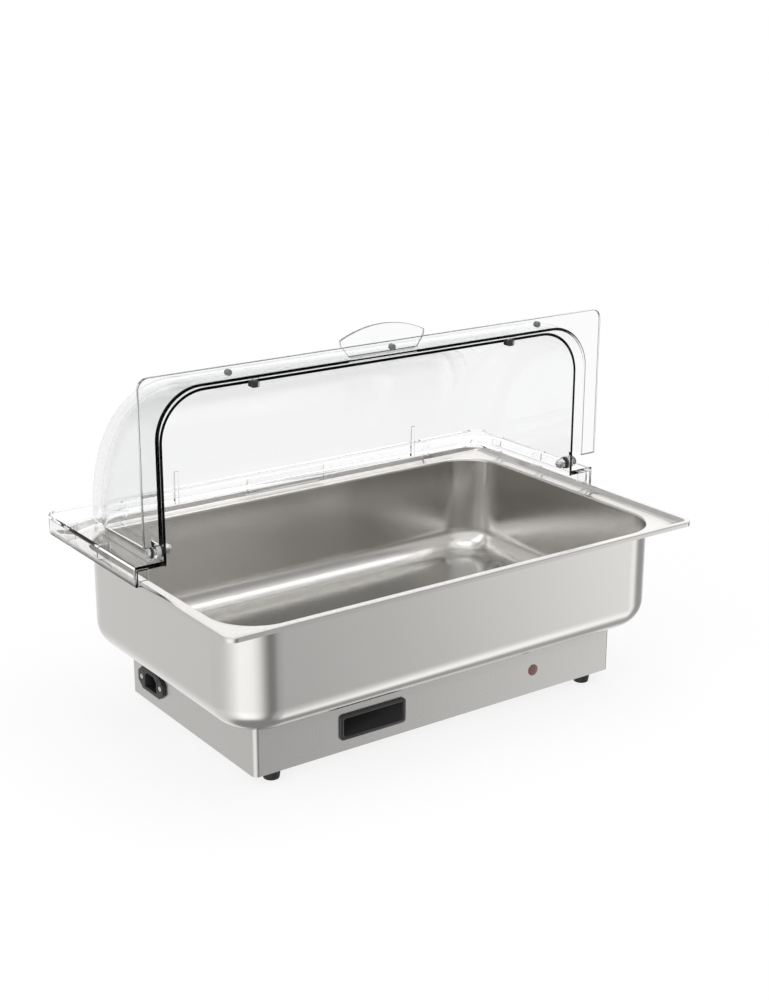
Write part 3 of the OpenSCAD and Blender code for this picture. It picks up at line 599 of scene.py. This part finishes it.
def refined(node, body, material, edge, segments=2):
    """A copy of a node with its facets merged and its edges rounded, in the node's place."""
    deselect()
    source = frame["nodes"][node]
    piece = bpy.data.objects.new("fine_" + node, source.data.copy())
    bpy.context.scene.collection.objects.link(piece)
    bpy.context.view_layer.objects.active = piece
    piece.select_set(True)
    piece.data.materials.clear()
    bpy.ops.mesh.customdata_custom_splitnormals_clear()
    bpy.ops.object.mode_set(mode="EDIT")
    bpy.ops.mesh.select_all(action="SELECT")
    bpy.ops.mesh.remove_doubles(threshold=0.004 * MM)
    bpy.ops.mesh.dissolve_limited(angle_limit=math.radians(1))
    bpy.ops.object.mode_set(mode="OBJECT")
    soften(piece, edge, segments, angle=40)
    return dress(piece, body, [material], [node], smooth=38)


class BAINMARIE_OT_pan(bpy.types.Operator):
    """Models the deep-drawn water pan with its stepped rim"""

    bl_idname = "bainmarie.pan"
    bl_label = "Water pan"

    def execute(self, context):
        size = context.scene.bainmarie_pan
        tints = context.scene.bainmarie_finishes
        piece = open_piece("pan_sheet")
        loft([self.ring(size, d, z) for d, z in self.profile(size)], cap_last=True)
        turn_face((0, 0, PAN_LOW.z), (0, 0, 1))
        thicken(piece, size.sheet)
        bpy.ops.object.mode_set(mode="EDIT")
        face_outwards()
        # The pan's steel, with a painted shade darkening its flat bottom
        material = steel(
            "pan_steel", tints.pan_steel, rough=0.20, grain=(1, 1, 1), grain_scale=700.0, lines=0.015,
            bottom_shade=tints.pan_bottom_shade,
        )
        dress(piece, "base", [material], ["water_pan"], smooth=50)
        return {"FINISHED"}

    @staticmethod
    def profile(size):
        """The upper surface from the rim's lower edge to the bottom: distance inwards, height."""
        top = PAN_HIGH.z
        ledge = top - size.ledge_drop
        bottom = PAN_LOW.z + size.sheet
        edge = 1.3 * MM
        roll = 3 * MM
        roll_steps, fillet_steps = 6, 14
        wall = size.wall_inset
        points = [(0, top - size.rim_face)]
        points += arc(edge, top - edge, edge, 0, 90, BEND_STEPS)
        points += arc(size.lip_width - edge, top - edge, edge, 90, 165, BEND_STEPS)
        foot = size.lip_width + size.lip_slope
        lip_foot = ((-0.3 * MM, 1.0 * MM), (0.1 * MM, 0.35 * MM), (0.8 * MM, 0))
        points += [(foot + inwards, ledge + up) for inwards, up in lip_foot]
        points += [(wall - roll - 0.4 * MM, ledge)]
        points += arc(wall - roll, ledge - roll, roll, 90, 180, roll_steps)
        fillet = size.pan_fillet
        points += arc(wall + fillet, bottom + fillet, fillet, 0, -90, fillet_steps)
        return points

    @staticmethod
    def ring(size, d, z):
        lip_foot = size.lip_width + size.lip_slope + 1 * MM
        on_rim = d <= lip_foot
        radius = size.rim_corner - d if on_rim else size.pan_corner + size.wall_inset - d
        return (0, 0, z, PAN_HIGH.x - d, PAN_HIGH.y - d, radius)


class BAINMARIE_OT_base(bpy.types.Operator):
    """Models the folded base box"""

    bl_idname = "bainmarie.base"
    bl_label = "Base box"

    def execute(self, context):
        size = context.scene.bainmarie_base
        tints = context.scene.bainmarie_finishes
        x, y, top = BASE_HIGH.x, BASE_HIGH.y, BASE_HIGH.z
        piece = open_piece("base_box")
        rings = [(0, 0, BASE_LOW.z, x, y, size.corner)]
        for d, z in arc(size.bend, top - size.bend, size.bend, 0, 90, BEND_STEPS):
            rings.append((0, 0, z, x - d, y - d, size.corner - d))
        inner, inner_corner = size.turn_in, 4 * MM
        rings.append((0, 0, top, x - inner, y - inner, inner_corner))
        loft(rings)
        self.cut_inlet(size)
        turn_face((0, -y, (BASE_LOW.z + top) / 2), (0, -1, 0))
        thicken(piece, size.sheet)
        material = steel(
            "base_steel", tints.base_steel, rough=0.27, grain=(1, 1, 0.06), grain_scale=900.0, lines=0.02
        )
        dress(piece, "base", [material], ["housing"], smooth=35)
        return {"FINISHED"}

    @staticmethod
    def cut_inlet(size):
        """Cuts the rectangle that the inlet's shroud passes through."""
        y = (INLET_LOW.y + INLET_HIGH.y) / 2
        z = (INLET_LOW.z + INLET_HIGH.z) / 2
        w, h = size.inlet_hole_w / 2, size.inlet_hole_h / 2
        for point, normal in (
            ((0, y - w, 0), (0, 1, 0)), ((0, y + w, 0), (0, 1, 0)),
            ((0, 0, z - h), (0, 0, 1)), ((0, 0, z + h), (0, 0, 1)),
        ):
            bisect(point, normal)
        pick_faces(
            lambda f: f.calc_center_median().x < BASE_LOW.x + 1 * MM
            and abs(f.calc_center_median().y - y) < w and abs(f.calc_center_median().z - z) < h
        )
        bpy.ops.mesh.delete(type="FACE")
        bpy.ops.mesh.select_mode(type="VERT")


def dome_sheet(half, radius, corner, sweep):
    """Spins the dome's profile about the pivots, from straight ahead over the top to the back."""
    px, py, pz = PIVOT
    middle = (px, py - radius / 2, pz)
    bpy.ops.mesh.primitive_plane_add(size=2, location=middle)
    bpy.ops.transform.resize(value=(half, radius / 2, 1), center_override=middle)
    pick(lambda v: v.co.y < middle[1])
    bpy.ops.mesh.bevel(
        offset=corner, offset_type="OFFSET", segments=CORNER_STEPS, profile=0.5, affect="VERTICES"
    )
    bpy.ops.mesh.select_all(action="SELECT")
    bpy.ops.mesh.delete(type="ONLY_FACE")
    pick(lambda v: v.co.y > py - NEAR)
    bpy.ops.mesh.delete(type="EDGE_FACE")
    bpy.ops.mesh.select_all(action="SELECT")
    bpy.ops.mesh.spin(steps=SPIN_STEPS, angle=math.radians(sweep), center=PIVOT, axis=(1, 0, 0))
    bpy.ops.mesh.select_all(action="SELECT")
    bpy.ops.mesh.remove_doubles(threshold=NEAR)


def merged(shell, *others):
    """Joins closed pieces into one closed shell."""
    for other in others:
        deselect()
        bpy.context.view_layer.objects.active = shell
        shell.select_set(True)
        apply_modifier(
            shell, "BOOLEAN", object=other, operation="UNION", solver="EXACT", material_mode="TRANSFER"
        )
        bpy.data.objects.remove(other)
    return shell


def plain_solid(piece, *materials):
    """Leaves edit mode with all faces outwards, and the piece's materials in their slots."""
    face_outwards()
    bpy.ops.object.mode_set(mode="OBJECT")
    add_slots(piece, *materials)
    return piece


def dark_lines(piece, width):
    """Chamfers a clear shell's edges, and gives the narrow faces the dark edge colour, a painted shade."""
    deselect()
    bpy.context.view_layer.objects.active = piece
    piece.select_set(True)
    soften(piece, width, segments=1, angle=50, material=EDGE_SLOT)


class BAINMARIE_OT_rear_cover(bpy.types.Operator):
    """Models the fixed clear dome, its frame, ribs and locating tab"""

    bl_idname = "bainmarie.rear_cover"
    bl_label = "Fixed cover"

    def execute(self, context):
        size = context.scene.bainmarie_cover
        tints = context.scene.bainmarie_finishes
        body = clear_plastic("clear_cover", tints.clear, rough=0.01)
        # Painted shade for the covers' chamfered edges: a dark clear plastic
        edge = clear_plastic("clear_edge", tints.clear_edge, rough=0.12)
        dome = self.dome(size, body, edge)
        ring = self.frame_ring(size, body, edge)
        small = self.small_forms(size, body, edge)
        dark_lines(ring, 0.6 * MM)
        dark_lines(small, 0.3 * MM)
        shell = merged(dome, ring, small)
        dress(shell, "rear_cover", [body, edge], ["rear_cover", "rear_frame"], smooth=40)
        return {"FINISHED"}

    @staticmethod
    def dome(size, body, edge):
        py, pz = PIVOT[1], PIVOT[2]
        piece = open_piece("rear_dome")
        dome_sheet(size.rear_half, size.rear_radius, size.corner, 180)
        side = size.rear_half - NEAR
        pick(lambda v: abs(v.co.z - pz) < NEAR and (abs(v.co.x) > side or v.co.y > py))
        low = size.frame_top - size.frame_plate
        bpy.ops.mesh.extrude_edges_move(TRANSFORM_OT_translate={"value": (0, 0, low - pz)})
        bisect((0, REAR_LOW.y, 0), (0, 1, 0), clear_inner=True)
        turn_face((0, py, pz + size.rear_radius), (0, 0, 1))
        add_slots(piece, body, edge)
        thicken(piece, size.wall, EDGE_SLOT)
        return piece

    @staticmethod
    def frame_ring(size, body, edge):
        x, y = FRAME_HIGH.x, FRAME_HIGH.y
        front = -100 * MM
        sunk = size.wall / 2
        inner_x = size.rear_half - sunk
        inner_y = PIVOT[1] + size.rear_radius - sunk
        low, top = FRAME_LOW.z, FRAME_HIGH.z
        under = top - size.frame_plate
        bend = 1.2 * MM

        def ring(z, half_x, back, radius):
            return (0, (back + front) / 2, z, half_x, (back - front) / 2, radius)

        t = size.skirt
        corner = size.frame_corner
        rings = [ring(low, x, y, corner)]
        for d, z in arc(bend, top - bend, bend, 0, 90, BEND_STEPS):
            rings.append(ring(z, x - d, y - d, corner - d))
        rings += [
            ring(top, inner_x, inner_y, size.corner - sunk),
            ring(under, inner_x, inner_y, size.corner - sunk),
            ring(under, x - t, y - t, corner - t),
            ring(low, x - t, y - t, corner - t),
        ]
        piece = open_piece("frame_ring")
        loft(rings, close=True)
        bisect((0, REAR_LOW.y, 0), (0, 1, 0), clear_inner=True, fill=True)
        return plain_solid(piece, body, edge)

    @staticmethod
    def small_forms(size, body, edge):
        """Ribs under the frame, ribs inside the dome's back, and the locating tab."""
        gap, sink = 0.3 * MM, 1 * MM
        rib, rib_inset = 2.5 * MM, 9 * MM
        side_rib, back_rib, back_rib_x = 15 * MM, 15.5 * MM, 200 * MM
        dome_rib, dome_rib_x = Vector((5, 3.6, 36)) * MM, 156 * MM
        tab_w, tab_t, tab_inset, tab_drop = 102 * MM, 3 * MM, 10.4 * MM, 2 * MM
        under = size.frame_top - size.frame_plate + sink
        low = PAN_HIGH.z + gap
        middle, height = (low + under) / 2, under - low
        back = PIVOT[1] + size.rear_radius - size.wall - 1.2 * MM
        piece = open_piece("frame_ribs")
        for side in (-1, 1):
            for y in (-12 * MM, 66 * MM, 140 * MM):
                box_solid((side * (FRAME_HIGH.x - rib_inset), y, middle), (side_rib, rib, height))
            box_solid((side * back_rib_x, FRAME_HIGH.y - rib_inset, middle), (rib, back_rib, height))
            box_solid((side * dome_rib_x, back, under + dome_rib.z / 2), dome_rib)
        foot = PAN_HIGH.z - tab_drop
        box_solid((0, PAN_HIGH.y - tab_inset, (foot + under) / 2), (tab_w, tab_t, under - foot))
        return plain_solid(piece, body, edge)


class BAINMARIE_OT_front_cover(bpy.types.Operator):
    """Models the moving clear dome with its flange, bowed handle and stop fingers"""

    bl_idname = "bainmarie.front_cover"
    bl_label = "Moving cover"

    def execute(self, context):
        size = context.scene.bainmarie_cover
        tints = context.scene.bainmarie_finishes
        # The moving dome's clear plastic carries the painted shade band at its top
        body = clear_plastic("clear_brow", tints.clear, rough=0.01, brow_shade=tints.brow_shade)
        edge = bpy.data.materials["clear_edge"]
        plate, grip = self.flange(size, body, edge), self.handle(size, body, edge)
        fingers = self.fingers(size, body, edge)
        dark_lines(plate, 0.7 * MM)
        dark_lines(grip, 0.5 * MM)
        dark_lines(fingers, 0.4 * MM)
        shell = merged(self.dome(size, body, edge), self.hubs(size, body, edge), plate, grip, fingers)
        dress(shell, "front_cover", [body, edge], ["front_cover"], smooth=40)
        return {"FINISHED"}

    @staticmethod
    def dome(size, body, edge):
        py, pz = PIVOT[1], PIVOT[2]
        sunk = FRONT_LOW.y + size.flange - 1 * MM
        piece = open_piece("front_dome")
        dome_sheet(size.front_half, size.front_radius, size.corner, 181)
        bisect((0, sunk, 0), (0, 1, 0), clear_inner=True)
        bisect((0, py, 0), (0, 1, 0))
        bisect((0, 0, size.flange_low), (0, 0, 1))
        pick_faces(
            lambda f: f.calc_center_median().y < py and f.calc_center_median().z < size.flange_low
        )
        bpy.ops.mesh.delete(type="FACE")
        bpy.ops.mesh.select_mode(type="VERT")
        turn_face((0, py, pz + size.front_radius), (0, 0, 1))
        add_slots(piece, body, edge)
        thicken(piece, size.wall, EDGE_SLOT)
        return piece

    @staticmethod
    def hubs(size, body, edge):
        piece = open_piece("front_hubs")
        for side in (-1, 1):
            x = side * (size.front_half - size.wall / 2)
            bpy.ops.mesh.primitive_cylinder_add(
                vertices=48, radius=size.hub, depth=size.wall, location=(x, PIVOT[1], PIVOT[2]),
                rotation=(0, math.pi / 2, 0),
            )
        return plain_solid(piece, body, edge)

    @staticmethod
    def flange(size, body, edge):
        """An upright plate with an arch for the dome's mouth, made flat and then stood up."""
        front, back = -FRONT_LOW.y, -FRONT_LOW.y - size.flange
        low, arch_low = 100 * MM, 120 * MM
        arch_top = PIVOT[2] + size.front_radius - size.wall
        arch_x = size.front_half - size.wall

        def plate(z):
            middle, half_height = (low + size.flange_top) / 2, (size.flange_top - low) / 2
            return (0, middle, z, size.flange_half, half_height, size.flange_corner)

        def mouth(z):
            middle, half_height = (arch_low + arch_top) / 2, (arch_top - arch_low) / 2
            return (0, middle, z, arch_x, half_height, size.corner - size.wall)

        piece = open_piece("front_flange")
        loft([plate(back), plate(front), mouth(front), mouth(back)], close=True)
        bisect((0, size.flange_low, 0), (0, 1, 0), clear_inner=True, fill=True)
        stand_up(piece)
        bpy.ops.object.mode_set(mode="EDIT")
        return plain_solid(piece, body, edge)

    @staticmethod
    def handle(size, body, edge):
        """A slice of a disc with straight sides, drawn in towards the dome."""
        sunk = 4 * MM
        draw_in = (0.8, -0.6, 0)
        chord = PIVOT[2] + size.front_radius - sunk
        half, crown = size.handle_width / 2, size.handle_crown
        radius = (half ** 2 + crown ** 2) / (2 * crown)
        back = -(FRONT_LOW.y + size.flange + size.handle_setback + size.handle_depth)
        piece = open_piece("lid_handle")
        bpy.ops.mesh.primitive_circle_add(
            vertices=360, radius=radius, fill_type="NGON", location=(0, FRONT_HIGH.z - radius, back)
        )
        bisect((0, chord, 0), (0, 1, 0), clear_inner=True)
        for side in (-1, 1):
            bisect((side * half, 0, 0), (side, 0, 0), clear_outer=True)
            undercut = (side * half, chord + size.handle_undercut, 0)
            bisect(undercut, (side * draw_in[0], *draw_in[1:]), clear_outer=True)
        bpy.ops.mesh.select_all(action="SELECT")
        bpy.ops.mesh.extrude_region_move(TRANSFORM_OT_translate={"value": (0, 0, size.handle_depth)})
        stand_up(piece)
        bpy.ops.object.mode_set(mode="EDIT")
        return plain_solid(piece, body, edge)

    @staticmethod
    def fingers(size, body, edge):
        """Two short fingers that carry the stop pads."""
        reach, sunk = 6 * MM, 1 * MM
        finger_x, finger_w, finger_t = 158 * MM, 8 * MM, 2 * MM
        low = PIVOT[2] + size.rear_radius - reach
        height = size.front_radius - size.rear_radius + reach - sunk
        piece = open_piece("stop_fingers")
        for side in (-1, 1):
            middle = (side * finger_x, FRONT_LOW.y + finger_t / 2, low + height / 2)
            box_solid(middle, (finger_w, finger_t, height))
        return plain_solid(piece, body, edge)


class BAINMARIE_OT_fittings(bpy.types.Operator):
    """Refines the feet, display, lamp, inlet, pivots, studs and pads"""

    bl_idname = "bainmarie.fittings"
    bl_label = "Fittings"

    def execute(self, context):
        tints = context.scene.bainmarie_finishes
        rubber = moulded("foot_rubber", tints.rubber, rough=0.6, grain_depth=0.35)
        plastic = moulded("black_plastic", tints.plastic, rough=0.42, grain_depth=0.25)
        gloss = moulded("bezel_gloss", tints.plastic, rough=0.28, grain_depth=0.03, coat=0.3)
        window = moulded("window_gloss", tints.window, rough=0.35, grain_depth=0.0, ior=1.2)
        bright = {"grain": (1, 1, 1), "grain_scale": 1500.0, "lines": 0.03}
        fixing = steel("fixing_steel", tints.fixing_steel, rough=0.26, **bright)
        brass = steel("pin_brass", tints.brass, rough=0.25, **bright)
        lens = signal_lens("lamp_lens", tints.lens)
        nylon = moulded("spacer_nylon", tints.nylon, rough=0.4, grain_depth=0.05)
        stud = moulded("bumper_grey", tints.bumper, rough=0.35, grain_depth=0.05)
        for name in ("front_left", "front_right", "rear_left", "rear_right"):
            refined("foot_" + name, "base", rubber, edge=0.8 * MM, segments=3)
        refined("display_bezel", "base", gloss, edge=0.7 * MM, segments=3)
        refined("display_window", "base", window, edge=0.2 * MM)
        refined("lamp_lens", "base", lens, edge=0.5 * MM, segments=3)
        refined("inlet_body", "base", plastic, edge=0.4 * MM)
        refined("inlet_pins", "base", brass, edge=0.4 * MM)
        refined("inlet_screws", "base", fixing, edge=0.4 * MM, segments=3)
        refined("bottom_plate_screws", "base", fixing, edge=0.3 * MM)
        refined("pivot_bolts", "rear_cover", fixing, edge=0.4 * MM, segments=3)
        refined("cap_nuts", "rear_cover", fixing, edge=0.4 * MM, segments=3)
        refined("pivot_washers", "rear_cover", plastic, edge=0.3 * MM)
        refined("pivot_spacers", "rear_cover", nylon, edge=0.3 * MM)
        refined("lid_bumpers", "front_cover", stud, edge=0.5 * MM, segments=3)
        refined("stop_pads", "front_cover", rubber, edge=0.6 * MM, segments=3)
        return {"FINISHED"}


class BAINMARIE_OT_inner_finishes(bpy.types.Operator):
    """Gives the parts inside the base and under it their finishes"""

    bl_idname = "bainmarie.inner_finishes"
    bl_label = "Inner finishes"

    def execute(self, context):
        tints = context.scene.bainmarie_finishes
        sheet = steel(
            "inner_sheet", tints.base_steel, rough=0.32, grain=(1, 0.06, 1), grain_scale=900.0, lines=0.03
        )
        fixing = bpy.data.materials["fixing_steel"]
        brass = bpy.data.materials["pin_brass"]
        plastic = bpy.data.materials["black_plastic"]
        finishes = {
            "heater_alloy": steel(
                "heater_alloy", (0.78, 0.78, 0.77),
                rough=0.36, grain=(0.06, 1, 1), grain_scale=700.0, lines=0.03,
            ),
            "element_sheath": steel(
                "element_sheath", (0.22, 0.21, 0.20),
                rough=0.5, grain=(1, 1, 1), grain_scale=900.0, lines=0.06,
            ),
            "insulation_fibre": fibre("insulation_fibre", (0.80, 0.78, 0.74)),
            "terminal_plastic": moulded(
                "terminal_plastic", (0.75, 0.72, 0.62), rough=0.5, grain_depth=0.15
            ),
            "lead_sheath": moulded("lead_sheath", (0.025, 0.025, 0.025), rough=0.5, grain_depth=0.1),
            "fixings_steel": fixing, "plate_steel": sheet, "brass": brass, "black_plastic": plastic,
        }
        sheaths = {
            "live_sheath": (0.20, 0.085, 0.035), "neutral_sheath": (0.03, 0.10, 0.36),
            "earth_sheath": (0.22, 0.42, 0.05), "lamp_sheath": (0.36, 0.03, 0.025),
        }
        for name, tint in sheaths.items():
            finishes[name] = moulded(name, tint, rough=0.45, grain_depth=0.1)
        slots = {part["node"]: part["material_slot"] for part in frame["record"]["subparts"]}
        for node, thing in frame["nodes"].items():
            if not thing.hide_render:
                for place in thing.material_slots:
                    place.material = finishes[slots[node]]
        return {"FINISHED"}


class BAINMARIE_OT_stage(bpy.types.Operator):
    """Adds the floor, the sky, two soft lights and the camera"""

    bl_idname = "bainmarie.stage"
    bl_label = "Stage"

    def execute(self, context):
        settings = context.scene.bainmarie_stage
        context.scene.view_settings.view_transform = "Standard"
        self.floor(settings)
        self.sky(context.scene, settings)
        self.light("key_light", settings.key_power, size=2.2, place=(0.5, -0.4, 2.3))
        self.light("fill_light", settings.fill_power, size=1.6, place=(-1.6, -0.6, 1.5))
        self.camera(context.scene, settings)
        return {"FINISHED"}

    @staticmethod
    def floor(settings):
        """A wide pale floor that keeps the shadow and turns white away from the object."""
        deselect()
        bpy.ops.mesh.primitive_plane_add(size=FLOOR_SIZE, location=(0, 0, 0))
        floor = bpy.context.object
        floor.name = "stage_floor"
        material, graph = new_material("stage_white")
        place = graph.add("TexCoord")["Object"]
        away = graph.add("VectorMath", {"operation": "LENGTH"}, {0: place})["Value"].smooth(*FLOOR_FADE)
        white = away * (1 - PALE) + PALE
        rays = graph.add("LightPath")
        seen = (rays["Is Camera Ray"] + rays["Is Transmission Ray"]).math("MINIMUM", 1.0)
        lit = graph.add("BsdfDiffuse", None, {"Color": rgba(settings.floor_colour)})["BSDF"]
        lift = graph.add("Emission", None, {"Strength": seen * settings.floor_lift})["Emission"]
        near = graph.add("AddShader", None, {0: lit, 1: lift})[0]
        far = graph.add("Emission", None, {"Strength": 1.0})["Emission"]
        graph.finish(graph.add("MixShader", None, {0: white * seen, 1: near, 2: far})[0])
        floor.data.materials.append(material)
        floor.visible_glossy = False

    @staticmethod
    def sky(scene, settings):
        """White to the eye; in reflections, a studio of soft boxes and dark flags round the object."""
        scene.world = bpy.data.worlds.new("studio")
        graph = Graph(scene.world)
        way = graph.add("TexCoord")["Generated"]
        axes = graph.add("SeparateXYZ", None, {0: way})
        x, y, z = axes["X"], axes["Y"], axes["Z"]
        turn = x.math("ARCTAN2", -y) / math.tau + 0.5

        def ring(levels):
            """Brightness by azimuth in degrees; 0 is in front, 90 to the right."""
            stops = [(a / 360 + 0.5, level / BRIGHTEST) for a, level in levels]
            return graph.add("ValToRGB", {"stops": stops}, {"Fac": turn})["Color"] * BRIGHTEST

        low = ring(LOW_RING)
        high = ring(HIGH_RING)
        level = low + (high - low) * z.smooth(*RING_BLEND)
        level = level + (CEILING - level) * z.smooth(*CEILING_BLEND)
        band = z.smooth(*SHINE_LOW) * (1 - z.smooth(*SHINE_HIGH))
        level = level * (1 + band * SHINE)
        level = level + (UNDER - level) * (1 - z.smooth(*UNDER_BLEND))
        rays = graph.add("LightPath")
        mirrored = rays["Glossy Depth"].math("MINIMUM", 1.0)
        through = rays["Is Transmission Ray"]
        white = (rays["Is Camera Ray"] + through * (1 - mirrored)).math("MINIMUM", 1.0)
        shiny = (rays["Is Glossy Ray"] + through * mirrored).math("MINIMUM", 1.0)
        other = shiny * level + (1 - shiny) * settings.sky
        strength = white + (1 - white) * other
        back = graph.add("Background", None, {"Color": (1, 1, 1, 1), "Strength": strength})["Background"]
        graph.finish(back, "OutputWorld")

    @staticmethod
    def light(name, power, size, place):
        deselect()
        bpy.ops.object.light_add(type="AREA", location=place)
        light = bpy.context.object
        light.name = name
        light.data.energy = power
        light.data.size = size
        aim = LIT_POINT - Vector(place)
        light.rotation_euler = aim.to_track_quat("-Z", "Y").to_euler()
        light.visible_glossy = False

    @staticmethod
    def camera(scene, settings):
        azimuth, elevation = math.radians(-34.93), math.radians(17.91)
        place = (-0.96185, -1.36310, 0.75520)
        level = math.cos(elevation)
        back = Vector((math.sin(azimuth) * level, -math.cos(azimuth) * level, math.sin(elevation)))
        deselect()
        bpy.ops.object.camera_add(location=place)
        camera = bpy.context.object
        camera.name = "camera"
        camera.rotation_euler = (-back).to_track_quat("-Z", "Y").to_euler()
        camera.data.lens = settings.lens
        camera.data.sensor_width = 36
        camera.data.shift_x = 0.018
        scene.camera = camera


class BAINMARIE_PT_panel(bpy.types.Panel):
    """Lists the pieces in the order in which they are made"""

    bl_idname = "BAINMARIE_PT_panel"
    bl_label = "Bain-marie"
    bl_space_type = "VIEW_3D"
    bl_region_type = "UI"
    bl_category = "Bain-marie"

    def draw(self, context):
        for operator in OPERATORS:
            self.layout.operator(operator.bl_idname)


GROUPS = {
    "bainmarie_pan": PanSizes,
    "bainmarie_base": BaseSizes,
    "bainmarie_cover": CoverSizes,
    "bainmarie_finishes": Finishes,
    "bainmarie_stage": StageSettings,
}
OPERATORS = (
    BAINMARIE_OT_stage,
    BAINMARIE_OT_pan,
    BAINMARIE_OT_base,
    BAINMARIE_OT_rear_cover,
    BAINMARIE_OT_front_cover,
    BAINMARIE_OT_fittings,
    BAINMARIE_OT_inner_finishes,
)


def register():
    for group in GROUPS.values():
        bpy.utils.register_class(group)
    for name, group in GROUPS.items():
        setattr(bpy.types.Scene, name, PointerProperty(type=group))
    for operator in OPERATORS:
        bpy.utils.register_class(operator)
    bpy.utils.register_class(BAINMARIE_PT_panel)


def unregister():
    bpy.utils.unregister_class(BAINMARIE_PT_panel)
    for operator in reversed(OPERATORS):
        bpy.utils.unregister_class(operator)
    for name, group in reversed(list(GROUPS.items())):
        delattr(bpy.types.Scene, name)
        bpy.utils.unregister_class(group)


def main():
    register()
    for operator in OPERATORS:
        group, name = operator.bl_idname.split(".")
        getattr(getattr(bpy.ops, group), name)()


if __name__ == "__main__":
    main()
